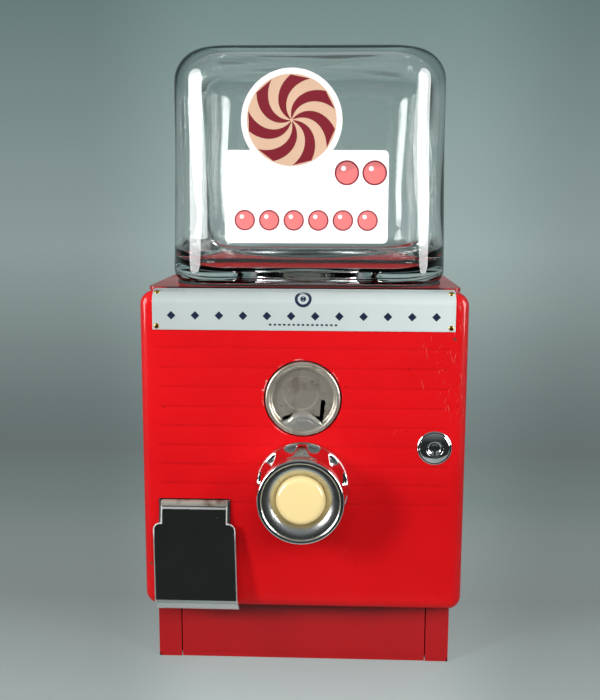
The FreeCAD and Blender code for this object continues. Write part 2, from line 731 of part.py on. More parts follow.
def cross_bar():
    """The bar from wall to wall that carries the wheel floor."""
    wall_x = SIDE_X - SHEET
    y = (-BAR_WIDTH / 2, BAR_WIDTH / 2)
    bar = block((-wall_x, wall_x), y, (BAR_TOP_Z - BAR_THICK, BAR_TOP_Z))
    for x in ((-wall_x, -wall_x + BAR_THICK), (wall_x - BAR_THICK, wall_x)):
        bar = bar.fuse(block(x, y, (BAR_TOP_Z - BAR_THICK - BAR_FLANGE, BAR_TOP_Z)))
    bar = bar.removeSplitter()
    bar = bar.cut(rod(BAR_SCREW_R + SCREW_FIT, point(-SIDE_X, 0, BAR_SCREW_Z), X_AXIS, BODY_WIDTH))
    return bar.cut(rod(AXLE_R + RUN_FIT, point(0, 0, BAR_TOP_Z - 2 * BAR_THICK), Z_AXIS,
                       3 * BAR_THICK))


def bar_screws():
    """One round-head screw through each side wall into the bar's flange."""
    screws = []
    for side in (-1, 1):
        head = point(side * (SIDE_X - SHEET - BAR_THICK), 0, BAR_SCREW_Z)
        screws.append(round_screw(head, X_AXIS * -side, BAR_SCREW_R, BAR_THICK + SHEET,
                                  BAR_SCREW_HEAD_R, BAR_SCREW_HEAD))
    return screws


def wheel_floor():
    """The plate under the portion wheel, with the drop hole, on a hub."""
    plate = rod(WHEEL_FLOOR_R, point(0, 0, WHEEL_FLOOR_TOP_Z - WHEEL_FLOOR_THICK), Z_AXIS,
                WHEEL_FLOOR_THICK)
    hub = rod(HUB_R, point(0, 0, BAR_TOP_Z), Z_AXIS, WHEEL_FLOOR_TOP_Z - BAR_TOP_Z)
    floor = plate.fuse(hub).removeSplitter()
    x, y = drop_place()
    floor = floor.cut(rod(DROP_HOLE_R, point(x, y, BAR_TOP_Z), Z_AXIS, WHEEL_THICK * 2))
    return floor.cut(rod(AXLE_R + RUN_FIT, point(0, 0, BAR_TOP_Z), Z_AXIS, WHEEL_THICK * 2))


def portion_wheel():
    """A thick disc with a ring of measuring cavities."""
    wheel = rod(WHEEL_R, point(0, 0, WHEEL_BOTTOM_Z), Z_AXIS, WHEEL_THICK)
    for n in range(CAVITY_COUNT):
        angle = math.radians(DROP_ANGLE_DEG + 360 * n / CAVITY_COUNT)
        place = point(CAVITY_PITCH_R * math.cos(angle), CAVITY_PITCH_R * math.sin(angle),
                      WHEEL_BOTTOM_Z)
        wheel = wheel.cut(rod(CAVITY_R, place, Z_AXIS, WHEEL_THICK))
    return wheel.cut(rod(AXLE_R, point(0, 0, WHEEL_BOTTOM_Z), Z_AXIS, WHEEL_THICK))


def crown_gear():
    """A ring under the wheel's rim with straight-sided teeth that point down."""
    inner = CROWN_PITCH_R - PINION_FACE / 2
    outer = CROWN_PITCH_R + PINION_FACE / 2
    ring = tube(outer, inner, point(0, 0, CROWN_ROOT_Z), Z_AXIS, CROWN_BACK)
    slope = math.tan(math.radians(PRESSURE_DEG))
    root_half = CROWN_TOOTH / 2 + (TOOTH_REACH + TOOTH_GAP) * slope
    tip_half = CROWN_TOOTH / 2 - TOOTH_REACH * slope
    tip_z = MESH_Z - TOOTH_REACH
    sections = []
    for radius in (inner + TOOTH_TRIM, outer - TOOTH_TRIM):
        scale = radius / CROWN_PITCH_R
        corners = [point(-root_half * scale, -radius, CROWN_ROOT_Z + TOOTH_BITE),
                   point(root_half * scale, -radius, CROWN_ROOT_Z + TOOTH_BITE),
                   point(root_half * scale, -radius, CROWN_ROOT_Z),
                   point(tip_half * scale, -radius, tip_z),
                   point(-tip_half * scale, -radius, tip_z),
                   point(-root_half * scale, -radius, CROWN_ROOT_Z)]
        sections.append(Part.makePolygon(corners + [corners[0]]))
    tooth = Part.makeLoft(sections, True, True)
    teeth = []
    for n in range(CROWN_TEETH):
        copy = tooth.copy()
        copy.rotate(FreeCAD.Vector(), Z_AXIS, 360 * (n + 0.5) / CROWN_TEETH)
        teeth.append(copy)
    return ring.multiFuse(teeth).removeSplitter()


def wheel_axle():
    """The pin that turns with the wheel, in the hub and the cross bar."""
    low = BAR_TOP_Z - BAR_THICK - AXLE_CLIP - AXLE_TAIL
    return rod(AXLE_R, point(0, 0, low), Z_AXIS, WHEEL_TOP_Z + AGITATOR_HUB / 2 - low)


def axle_clip():
    """The ring that stops the axle lifting out of the bar."""
    return tube(AXLE_CLIP_R, AXLE_R, point(0, 0, BAR_TOP_Z - BAR_THICK - SEAT_GAP - AXLE_CLIP),
                Z_AXIS, AXLE_CLIP)


def agitator():
    """A hub on the axle with two raised stirring arms."""
    hub = rod(AGITATOR_HUB_R, point(0, 0, WHEEL_TOP_Z), Z_AXIS, AGITATOR_HUB)
    middle = point(0, 0, WHEEL_TOP_Z + AGITATOR_HUB / 2)
    for side in (-1, 1):
        path = point(side * AGITATOR_REACH, 0, AGITATOR_RISE)
        hub = hub.fuse(rod(AGITATOR_ARM_R, middle, path, path.Length))
    hub = hub.removeSplitter()
    return hub.cut(rod(AXLE_R, point(0, 0, WHEEL_TOP_Z), Z_AXIS, AGITATOR_HUB / 2))


def sector(inner, outer, low_z, thickness, half_deg):
    """Part of a flat ring about the wheel's centre, over the drop hole."""
    ring = tube(outer, inner, point(0, 0, low_z), Z_AXIS, thickness)
    start = math.radians(DROP_ANGLE_DEG - half_deg)
    end = math.radians(DROP_ANGLE_DEG + half_deg)
    reach = 2 * outer
    wedge = prism([point(0, 0, low_z),
                   point(reach * math.cos(start), reach * math.sin(start), low_z),
                   point(reach * math.cos(end), reach * math.sin(end), low_z)],
                  point(0, 0, thickness))
    return ring.common(wedge)


def portion_guard():
    """A plate over the drop hole, with a tab riveted up the hopper's wall."""
    low = WHEEL_TOP_Z + GUARD_LIFT
    plate = sector(GUARD_INNER_R, HOPPER_R, low, GUARD_THICK, GUARD_HALF_DEG)
    tab = sector(HOPPER_R - GUARD_THICK, HOPPER_R, low, GUARD_TAB, GUARD_HALF_DEG / 2)
    return plate.fuse(tab).removeSplitter()


def portion_brush():
    """A bristle block on the guard's edge that levels each cavity."""
    angle = DROP_ANGLE_DEG + GUARD_HALF_DEG
    low = WHEEL_TOP_Z + GUARD_LIFT + GUARD_THICK
    brush = block((GUARD_INNER_R, HOPPER_R - BRUSH_THICK), (-BRUSH_THICK, 0),
                  (low, low + BRUSH_HEIGHT))
    brush.rotate(FreeCAD.Vector(), Z_AXIS, angle)
    return brush


# Chute, spout and flap

def chute_outline(inset, front_y):
    """The chute's two end outlines: the mouth at the door, and the mouth under the hole."""
    left = FLAP_X - CHUTE_MOUTH_WIDTH / 2 + inset
    right = FLAP_X + CHUTE_MOUTH_WIDTH / 2 - inset
    low = CHUTE_LOW_Z + inset
    high = CHUTE_LOW_Z + CHUTE_MOUTH - inset
    mouth = [point(left, front_y, low), point(right, front_y, low),
             point(right, front_y, high), point(left, front_y, high)]
    x, y = drop_place()
    half = CHUTE_TOP_WIDTH / 2 - inset
    top = [point(x - half, y + half, CHUTE_TOP_Z), point(x + half, y + half, CHUTE_TOP_Z),
           point(x + half, y - half, CHUTE_TOP_Z), point(x - half, y - half, CHUTE_TOP_Z)]
    return mouth, top


def folded_solid(first, last):
    """A solid between two outlines of four points, each wall folded along a diagonal."""
    faces = [Part.Face(Part.makePolygon(outline + [outline[0]])) for outline in (first, last)]
    for corner in range(len(first)):
        after = (corner + 1) % len(first)
        for fold in ((first[corner], first[after], last[after]),
                     (first[corner], last[after], last[corner])):
            faces.append(Part.Face(Part.makePolygon([*fold, fold[0]])))
    return Part.makeSolid(Part.makeShell(faces))


def candy_chute():
    """A sloping square tube from the drop hole to the door, hung from the cross bar."""
    front = FRONT_Y + SPOUT_BEHIND + CHUTE_GAP
    outer = folded_solid(*chute_outline(0, front))
    inner = folded_solid(*chute_outline(CHUTE_WALL, front))
    x, y = drop_place()
    rear = y + CHUTE_TOP_WIDTH / 2
    bar_low = BAR_TOP_Z - BAR_THICK
    tab_x = (x - CHUTE_TOP_WIDTH / 4, x + CHUTE_TOP_WIDTH / 4)
    web = block(tab_x, (rear - CHUTE_WALL, rear), (CHUTE_TOP_Z - CHUTE_WALL, bar_low))
    flange = block(tab_x, (rear - CHUTE_WALL, BAR_WIDTH / 2), (bar_low - CHUTE_WALL, bar_low))
    return outer.fuse([web, flange]).removeSplitter().cut(inner)


def flap_front_y(z):
    """Where the closed flap's inner face lies at a height."""
    lean = math.radians(FLAP_LEAN_DEG)
    behind_pin = (FLAP_ROLL_R - FLAP_THICK) / math.cos(lean)
    return FLAP_PIN_Y - behind_pin - (FLAP_PIN_Z - z) * math.tan(lean)


def spout():
    """The delivery mouth on the door: cheeks, sloping floor and a flange behind the panel."""
    half = CUTOUT_WIDTH / 2 - SEAT_GAP
    back = FRONT_Y + SPOUT_BEHIND
    low = CUTOUT_BOTTOM_Z + SEAT_GAP
    high = CUTOUT_TOP_Z - SEAT_GAP
    roll_low = FLAP_PIN_Z - FLAP_ROLL_R
    rest_low = flap_front_y(low) + SEAT_GAP
    rest_high = flap_front_y(roll_low) + SEAT_GAP
    roll_back = FLAP_PIN_Y + FLAP_ROLL_R + SEAT_GAP
    side = [point(0, back, low), point(0, rest_low, low), point(0, rest_high, roll_low),
            point(0, rest_high, high), point(0, back, high)]
    solid = prism(side, X_AXIS * (2 * half))
    solid.translate(point(FLAP_X - half, 0, 0))
    inner_low = low + SPOUT_WALL
    open_front = rest_low - SPOUT_BEHIND
    hollow_side = [point(0, back, CHUTE_LOW_Z), point(0, rest_low, inner_low),
                   point(0, open_front, inner_low), point(0, open_front, high),
                   point(0, roll_back, high), point(0, roll_back, high - SPOUT_WALL),
                   point(0, back, high - SPOUT_WALL)]
    hollow = prism(hollow_side, X_AXIS * (2 * (half - SPOUT_WALL)))
    hollow.translate(point(FLAP_X - half + SPOUT_WALL, 0, 0))
    flange_y = (DOOR_INNER_Y, DOOR_INNER_Y + SPOUT_WALL)
    frame = block((FLAP_X - half - SPOUT_FLANGE / 2, FLAP_X + half + SPOUT_FLANGE), flange_y,
                  (CUTOUT_BOTTOM_Z, CUTOUT_TOP_Z + SPOUT_FLANGE / 2))
    frame = frame.cut(block((FLAP_X - half, FLAP_X + half), flange_y, (low, high)))
    body = solid.cut(hollow).fuse(frame).removeSplitter()
    pin_start = point(FLAP_X - CUTOUT_WIDTH, FLAP_PIN_Y, FLAP_PIN_Z)
    return body.cut(rod(FLAP_PIN_R + RUN_FIT, pin_start, X_AXIS, 2 * CUTOUT_WIDTH))


def flap_pin():
    half = CUTOUT_WIDTH / 2 - SEAT_GAP
    return rod(FLAP_PIN_R, point(FLAP_X - half, FLAP_PIN_Y, FLAP_PIN_Z), X_AXIS, 2 * half)


def flap():
    """The delivery flap: a rolled knuckle, a leaning plate with shoulders, and a turned-in lip."""
    lean = math.radians(FLAP_LEAN_DEG)
    down = point(0, -math.sin(lean), -math.cos(lean))
    out = point(0, -math.cos(lean), math.sin(lean))
    start = point(0, FLAP_PIN_Y, FLAP_PIN_Z) + out * FLAP_ROLL_R
    neck_half = FLAP_NECK_WIDTH / 2
    half = FLAP_WIDTH / 2
    inward = out * -FLAP_THICK

    def plate(half_width, first, last):
        corners = [start + X_AXIS * x + down * along
                   for x, along in ((-half_width, first), (half_width, first),
                                    (half_width, last), (-half_width, last))]
        return prism(corners, inward)

    wide = plate(half, FLAP_NECK_LENGTH, FLAP_LENGTH)
    shoulders = [edge for edge in edges_along(wide, out)
                 if edge.CenterOfMass.z > FLAP_PIN_Z - FLAP_NECK_LENGTH - FLAP_ROLL_R]
    wide = wide.makeFillet(FLAP_SHOULDER_R, shoulders)
    neck = plate(neck_half, 0, FLAP_NECK_LENGTH + 1)
    turn = math.radians(FLAP_LEAN_DEG - LIP_TURN_DEG)
    lip_down = point(0, -math.sin(turn), -math.cos(turn))
    lip_in = point(0, math.cos(turn), -math.sin(turn))
    bend = start + down * FLAP_LENGTH
    corners = [bend + X_AXIS * x + lip_down * along
               for x, along in ((-half, 0), (half, 0), (half, LIP_LENGTH), (-half, LIP_LENGTH))]
    lip = prism(corners, lip_in * FLAP_THICK)
    fill_corners = [bend - X_AXIS * half, bend - X_AXIS * half + inward,
                    bend - X_AXIS * half + lip_in * FLAP_THICK]
    fill = prism(fill_corners, X_AXIS * (2 * half))
    roll = rod(FLAP_ROLL_R, point(-neck_half, FLAP_PIN_Y, FLAP_PIN_Z), X_AXIS, 2 * neck_half)
    solid = wide.fuse([neck, lip, fill, roll]).removeSplitter()
    solid = solid.cut(rod(FLAP_PIN_R + RUN_FIT, point(-neck_half, FLAP_PIN_Y, FLAP_PIN_Z),
                          X_AXIS, 2 * neck_half))
    solid.translate(point(FLAP_X, 0, 0))
    return solid


# Door

def mechanism_boss_places():
    return [(side * MECH_BOSS_X, z) for side in (-1, 1)
            for z in (MECH_LOW_Z + MECH_BOSS_R + 1, MECH_HIGH_Z - MECH_BOSS_R - 1)]


def nameplate_screw_places():
    """Head places and directions: two on the flat, two on the roll above."""
    x_screw = PLATE_WIDTH / 2 - PLATE_SCREW_INSET
    wrap = math.radians(PLATE_SCREW_WRAP_DEG)
    roll_y = FRONT_Y + EDGE_R
    roll_z = BODY_TOP - EDGE_R
    reach = EDGE_R + PLATE_THICK
    places = []
    for side in (-1, 1):
        places.append((point(side * x_screw, FRONT_Y - PLATE_THICK, PLATE_BOTTOM_Z + PLATE_SCREW_RISE),
                       Y_AXIS * -1))
        outward = point(0, -math.cos(wrap), math.sin(wrap))
        places.append((point(side * x_screw, roll_y, roll_z) + outward * reach, outward))
    return places


def front_door():
    """The pressed door pan with its grooves, holes and screw bosses."""
    outer = pressed_pan((-SIDE_X, SIDE_X), (FRONT_Y, FRONT_Y + DOOR_DEPTH), (BODY_BOTTOM, BODY_TOP),
                        CORNER_R, EDGE_R, FRONT_Y)
    inner = pressed_pan((-SIDE_X + SHEET, SIDE_X - SHEET), (DOOR_INNER_Y, FRONT_Y + DOOR_DEPTH),
                        (BODY_BOTTOM + SHEET, BODY_TOP - SHEET),
                        CORNER_R - SHEET, EDGE_R - SHEET, DOOR_INNER_Y)
    door = outer.cut(inner)
    bosses = [rod(MECH_BOSS_R, point(x, FRONT_Y + SHEET / 2, z), Y_AXIS, MECH_Y - FRONT_Y - SHEET / 2)
              for x, z in mechanism_boss_places()]
    door = door.fuse(bosses).removeSplitter()
    cuts = []
    groove_half = SIDE_X - GROOVE_END
    for n in range(GROOVE_COUNT):
        z = GROOVE_TOP_Z - n * GROOVE_PITCH
        cuts.append(rod(GROOVE_RADIUS, point(-groove_half, FRONT_Y - GROOVE_RADIUS + GROOVE_DEPTH, z),
                        X_AXIS, 2 * groove_half))
    cuts.append(rod(COIN_HOLE_R, point(0, FRONT_Y, COIN_Z), Y_AXIS, SHEET))
    cuts.append(rod(BUSH_R + SCREW_FIT, point(0, FRONT_Y, KNOB_Z), Y_AXIS, SHEET))
    cuts.append(rod(LOCK_BODY_R + SCREW_FIT, point(LOCK_X, FRONT_Y, LOCK_Z), Y_AXIS, SHEET))
    half = CUTOUT_WIDTH / 2
    cuts.append(block((FLAP_X - half, FLAP_X + half), (FRONT_Y, DOOR_INNER_Y),
                      (CUTOUT_BOTTOM_Z, CUTOUT_TOP_Z)))
    for x, z in mechanism_boss_places():
        cuts.append(rod(MECH_SCREW_R + SCREW_FIT, point(x, DOOR_INNER_Y, z), Y_AXIS, MECH_BEHIND))
    for head, outward in nameplate_screw_places():
        cuts.append(rod(PLATE_SCREW_R + SCREW_FIT, head, outward * -1, PLATE_SCREW_LENGTH + 1))
    return door.cut(cuts)


def nameplate():
    """A thin plate that follows the door's front and wraps over its top roll."""
    roll_z = BODY_TOP - EDGE_R
    centre = point(0, FRONT_Y + EDGE_R, roll_z)
    wrap = math.radians(PLATE_WRAP_DEG)

    def at(radius, angle):
        return centre + point(0, -radius * math.cos(angle), radius * math.sin(angle))

    outer = EDGE_R + PLATE_THICK
    low_front = point(0, FRONT_Y - PLATE_THICK, PLATE_BOTTOM_Z)
    low_back = point(0, FRONT_Y, PLATE_BOTTOM_Z)
    outline = Part.Wire([
        Part.LineSegment(low_front, at(outer, 0)).toShape(),
        Part.Arc(at(outer, 0), at(outer, wrap / 2), at(outer, wrap)).toShape(),
        Part.LineSegment(at(outer, wrap), at(EDGE_R, wrap)).toShape(),
        Part.Arc(at(EDGE_R, wrap), at(EDGE_R, wrap / 2), at(EDGE_R, 0)).toShape(),
        Part.LineSegment(at(EDGE_R, 0), low_back).toShape(),
        Part.LineSegment(low_back, low_front).toShape()])
    plate = Part.Face(outline).extrude(X_AXIS * PLATE_WIDTH)
    plate.translate(point(-PLATE_WIDTH / 2, 0, 0))
    holes = [rod(PLATE_SCREW_R + SCREW_FIT, head, outward * -1, 3 * PLATE_THICK)
             for head, outward in nameplate_screw_places()]
    return plate.cut(holes)


def nameplate_screws():
    return [round_screw(head, outward, PLATE_SCREW_R, PLATE_SCREW_LENGTH,
                        PLATE_SCREW_HEAD_R, PLATE_SCREW_HEAD)
            for head, outward in nameplate_screw_places()]


def coin_entry_plate():
    """A turned dish with a rolled rim, a coin recess, the coin slot and a relief slot."""
    rim_out = DISC_R
    rim_in = DISC_R - DISC_RIM
    floor_edge = rim_in - DISH_SLOPE
    seat = FRONT_Y - MECH_Y
    profile = [(0, -DISH_DEPTH - DISH_CONE), (floor_edge, -DISH_DEPTH), (rim_in, DISC_EDGE_PROUD),
               (rim_in + DISC_ROLL, DISC_PROUD), (rim_out - DISC_ROLL, DISC_PROUD),
               (rim_out, DISC_EDGE_PROUD), (rim_out, seat), (rim_out - DISC_THICK, seat),
               (rim_out - DISC_THICK, -DISH_DEPTH - DISC_THICK),
               (0, -DISH_DEPTH - DISH_CONE - DISC_THICK)]
    dish = turned(profile, point(0, FRONT_Y, COIN_Z), Y_AXIS * -1)
    recess = rod(COIN_RECESS_R, point(COIN_RECESS_X, FRONT_Y - DISC_PROUD, COIN_Z + COIN_RECESS_RISE),
                 Y_AXIS, DISC_PROUD + COIN_RECESS_BEHIND)
    through = (FRONT_Y, FRONT_Y + DISH_DEPTH + DISH_CONE + 2 * DISC_THICK)
    slot_top = COIN_Z - COIN_SLOT_DROP
    slot = block((-COIN_SLOT_WIDTH / 2, COIN_SLOT_WIDTH / 2), through,
                 (slot_top - COIN_SLOT_HEIGHT, slot_top))
    relief = block((RELIEF_X - RELIEF_WIDTH / 2, RELIEF_X + RELIEF_WIDTH / 2), through,
                   (slot_top - COIN_SLOT_HEIGHT / 2, slot_top - COIN_SLOT_HEIGHT / 2 + RELIEF_HEIGHT))
    return dish.cut([recess, slot, relief])


def coin_lip():
    """The plate across the dish's foot, with the hump that guides a coin into the slot."""
    top_z = COIN_Z - LIP_DROP
    y = FRONT_Y + LIP_BEHIND
    lip = rod(LIP_R, point(0, y, COIN_Z), Y_AXIS, LIP_THICK)
    lip = lip.cut(block((-LIP_R, LIP_R), (y, y + LIP_THICK), (top_z, COIN_Z + LIP_R)))
    centre = point(0, y + HUMP_R - HUMP_PROUD, COIN_Z - HUMP_DROP)
    hump_rim = math.sqrt(HUMP_R ** 2 - (HUMP_R - HUMP_PROUD) ** 2)
    front = y - 2 * HUMP_PROUD
    keep = rod(hump_rim, point(0, front, COIN_Z - HUMP_DROP), Y_AXIS, y + LIP_THICK - front)
    inside = rod(LIP_R, point(0, front, COIN_Z), Y_AXIS, y + LIP_THICK - front)
    dome = Part.makeSphere(HUMP_R, centre, Y_AXIS).common(keep).common(inside)
    hollow = Part.makeSphere(HUMP_R - LIP_THICK, centre)
    return lip.fuse(dome).removeSplitter().cut(hollow)


def lock_cylinder():
    """The lock's barrel with a domed flange on the door."""
    ball_radius = (LOCK_FLANGE_R ** 2 + LOCK_FLANGE ** 2) / (2 * LOCK_FLANGE)
    face = point(LOCK_X, FRONT_Y, LOCK_Z)
    dome = Part.makeSphere(ball_radius, face + Y_AXIS * (ball_radius - LOCK_FLANGE))
    dome = dome.common(rod(LOCK_FLANGE_R, face, Y_AXIS * -1, LOCK_FLANGE))
    barrel = rod(LOCK_BODY_R, face, Y_AXIS, LOCK_LENGTH)
    bore = rod(PLUG_R + RUN_FIT, face - Y_AXIS * (2 * LOCK_FLANGE), Y_AXIS,
               LOCK_LENGTH + 3 * LOCK_FLANGE)
    return dome.fuse(barrel).removeSplitter().cut(bore)


def lock_nut():
    """The six-sided nut behind the door."""
    corners = []
    for n in range(6):
        angle = math.radians(60 * n)
        corners.append(point(LOCK_X + LOCK_NUT_R * math.cos(angle), DOOR_INNER_Y,
                             LOCK_Z + LOCK_NUT_R * math.sin(angle)))
    nut = prism(corners, Y_AXIS * LOCK_NUT)
    return nut.cut(rod(LOCK_BODY_R, point(LOCK_X, DOOR_INNER_Y, LOCK_Z), Y_AXIS, LOCK_NUT))


def lock_plug():
    """The part the key turns, with its key way."""
    front = FRONT_Y - LOCK_FLANGE + PLUG_SUNK
    plug = rod(PLUG_R, point(LOCK_X, front, LOCK_Z), Y_AXIS, LOCK_CAM_Y + CAM_THICK - front)
    keyway = block((LOCK_X - KEYWAY_WIDTH / 2, LOCK_X + KEYWAY_WIDTH / 2),
                   (front - 1, front + KEYWAY_DEPTH),
                   (LOCK_Z - KEYWAY_HEIGHT / 2, LOCK_Z + KEYWAY_HEIGHT / 2))
    tail = point(LOCK_X, LOCK_CAM_Y + CAM_THICK - CAM_SCREW_LENGTH, LOCK_Z)
    return plug.cut([keyway, rod(CAM_SCREW_R + SCREW_FIT, tail, Y_AXIS, CAM_SCREW_LENGTH)])


def lock_cam():
    """The arm on the plug's tail: it stands up when the lock is open."""
    hub = rod(CAM_HUB_R, point(LOCK_X, LOCK_CAM_Y, LOCK_Z), Y_AXIS, CAM_THICK)
    arm = block((LOCK_X - CAM_WIDTH / 2, LOCK_X + CAM_WIDTH / 2), (LOCK_CAM_Y, LOCK_CAM_Y + CAM_THICK),
                (LOCK_Z, LOCK_Z + CAM_LENGTH))
    cam = hub.fuse(arm).removeSplitter()
    return cam.cut(rod(PLUG_R, point(LOCK_X, LOCK_CAM_Y, LOCK_Z), Y_AXIS, CAM_THICK))


def cam_screw():
    """The screw in the plug's tail that holds the cam."""
    return round_screw(point(LOCK_X, LOCK_CAM_Y + CAM_THICK, LOCK_Z), Y_AXIS, CAM_SCREW_R,
                       CAM_SCREW_LENGTH, CAM_SCREW_HEAD_R, CAM_SCREW_HEAD)


def hinge_arm(z_middle):
    """A goose-neck arm from the hinge pin round the cabinet's edge to the door."""
    z = (z_middle - ARM_HEIGHT / 2, z_middle + ARM_HEIGHT / 2)
    leg_x = HINGE_X + ARM_REACH
    boss = rod(HINGE_BOSS_R, point(HINGE_X, HINGE_Y, z[0]), Z_AXIS, ARM_HEIGHT)
    across = block((HINGE_X, leg_x), (HINGE_Y - ARM_THICK / 2, HINGE_Y + ARM_THICK / 2), z)
    forward = block((leg_x - ARM_THICK, leg_x), (DOOR_INNER_Y, HINGE_Y + ARM_THICK / 2), z)
    pad = block((leg_x - ARM_THICK, leg_x + ARM_PAD), (DOOR_INNER_Y, DOOR_INNER_Y + ARM_THICK / 2), z)
    arm = boss.fuse([across, forward, pad]).removeSplitter()
    return arm.cut(rod(HINGE_PIN_R + RUN_FIT, point(HINGE_X, HINGE_Y, z[0]), Z_AXIS, ARM_HEIGHT))


# Coin mechanism on the door

def post_places():
    """Three posts round the shaft; the fourth corner is the ratchet pawl's pin."""
    return [(-POST_OFFSET, KNOB_Z - POST_OFFSET), (POST_OFFSET, KNOB_Z - POST_OFFSET),
            (POST_OFFSET, KNOB_Z + POST_OFFSET)]


def mechanism_plate():
    """The plate behind the door with the pivot pins of the coin dog and the pawl."""
    half = MECH_WIDTH / 2
    plate = block((-half, half), (MECH_Y, MECH_BACK_Y), (MECH_LOW_Z, MECH_HIGH_Z))
    dog_pin = rod(PAWL_PIN_R, point(POST_OFFSET, COIN_WHEEL_Y, KNOB_Z + POST_OFFSET), Y_AXIS,
                  MECH_Y - COIN_WHEEL_Y + MECH_THICK / 2)
    pawl_pin = rod(PAWL_PIN_R, point(-POST_OFFSET, MECH_Y, KNOB_Z + POST_OFFSET), Y_AXIS,
                   BEARING_Y - MECH_Y)
    plate = plate.fuse([dog_pin, pawl_pin]).removeSplitter()
    cuts = [rod(SHAFT_R + RUN_FIT, point(0, MECH_Y, KNOB_Z), Y_AXIS, MECH_THICK)]
    cuts.append(rod(MECH_WINDOW_R, point(0, MECH_Y, COIN_Z), Y_AXIS, MECH_THICK))
    for x, z in mechanism_boss_places():
        cuts.append(rod(MECH_SCREW_R + SCREW_FIT, point(x, MECH_Y, z), Y_AXIS, MECH_THICK))
    return plate.cut(cuts)


def mechanism_screws():
    """Four screws into the door's bosses, and three through the bearing plate."""
    screws = []
    for x, z in mechanism_boss_places():
        screws.append(round_screw(point(x, MECH_BACK_Y, z), Y_AXIS, MECH_SCREW_R,
                                  MECH_THICK + MECH_BEHIND, MECH_SCREW_HEAD_R, MECH_SCREW_HEAD))
    for x, z in post_places():
        screws.append(round_screw(point(x, BEARING_Y + BEARING_THICK, z), Y_AXIS, BEARING_SCREW_R,
                                  BEARING_THICK + BEARING_SCREW_BITE, BEARING_SCREW_HEAD_R,
                                  BEARING_SCREW_HEAD))
    return screws


def bearing_posts():
    """Three spacers between the mechanism plate and the bearing plate, drilled for screws."""
    posts = []
    for x, z in post_places():
        post = rod(POST_R, point(x, MECH_BACK_Y, z), Y_AXIS, BEARING_Y - MECH_BACK_Y)
        hole = rod(BEARING_SCREW_R + SCREW_FIT, point(x, BEARING_Y - BEARING_SCREW_BITE, z), Y_AXIS,
                   BEARING_SCREW_BITE)
        posts.append(post.cut(hole))
    return posts


def bearing_plate():
    """The rear plate that steadies the shaft near the pinion."""
    half = POST_OFFSET + POST_R + BEARING_MARGIN
    plate = block((-half, half), (BEARING_Y, BEARING_Y + BEARING_THICK),
                  (KNOB_Z - half, KNOB_Z + half))
    cuts = [rod(SHAFT_R + RUN_FIT, point(0, BEARING_Y, KNOB_Z), Y_AXIS, BEARING_THICK)]
    for x, z in post_places():
        cuts.append(rod(BEARING_SCREW_R + SCREW_FIT, point(x, BEARING_Y, z), Y_AXIS, BEARING_THICK))
    return plate.cut(cuts)


def coin_track():
    """Two rails that keep the coin upright between the slot and the coin wheel."""
    inner = COIN_R + COIN_PLAY
    rails = []
    for side in (-1, 1):
        x = sorted((side * inner, side * (inner + TRACK_WALL)))
        rails.append(block(x, (DOOR_INNER_Y + SEAT_GAP, MECH_Y), (TRACK_LOW_Z, TRACK_HIGH_Z)))
    return rails


def knob_bush():
    """The flanged bearing in the door."""
    barrel = rod(BUSH_R, point(0, FRONT_Y - SEAT_GAP, KNOB_Z), Y_AXIS, SHEET + SEAT_GAP)
    flange = rod(BUSH_FLANGE_R, point(0, DOOR_INNER_Y, KNOB_Z), Y_AXIS, BUSH_FLANGE)
    bush = barrel.fuse(flange).removeSplitter()
    return bush.cut(rod(SHAFT_R + RUN_FIT, point(0, FRONT_Y - SEAT_GAP, KNOB_Z), Y_AXIS,
                        SEAT_GAP + SHEET + BUSH_FLANGE))


def swing_arm(pin_x, nose_angle, wheel_radius, y_low, lean):
    """A flat pawl: a boss on its pin and a finger whose nose rides on a wheel's rim."""
    angle = math.radians(nose_angle)
    ride = wheel_radius + SEAT_GAP
    nose = point(ride * math.cos(angle), y_low, KNOB_Z + ride * math.sin(angle))
    outward = point(math.cos(angle), 0, math.sin(angle))
    along = point(-math.sin(angle), 0, math.cos(angle)) * lean
    centre = point(pin_x, y_low, KNOB_Z + POST_OFFSET)
    corners = [nose, nose + outward * PAWL_TOE - along * PAWL_TOE_LEAN,
               nose + outward * (PAWL_TOE + SEAT_GAP) + along * PAWL_HEEL,
               centre + outward * (PAWL_BOSS_R - 2 * SEAT_GAP), centre - along * PAWL_HEEL,
               nose + outward * SEAT_GAP + along * PAWL_HEEL]
    finger = prism(corners, Y_AXIS * PAWL_THICK)
    boss = rod(PAWL_BOSS_R, centre, Y_AXIS, PAWL_THICK)
    arm = boss.fuse(finger).removeSplitter()
    return arm.cut(rod(PAWL_PIN_R + RUN_FIT, centre, Y_AXIS, PAWL_THICK))


def coin_dog():
    """The finger that feels for a coin on the coin wheel's rim."""
    return swing_arm(POST_OFFSET, DOG_ANGLE_DEG, COIN_WHEEL_R, COIN_WHEEL_Y + SEAT_GAP, 1)


def ratchet_pawl():
    """The finger on the ratchet wheel."""
    return swing_arm(-POST_OFFSET, PAWL_ANGLE_DEG, RATCHET_R, RATCHET_Y + SEAT_GAP, -1)


# Knob and what turns with it

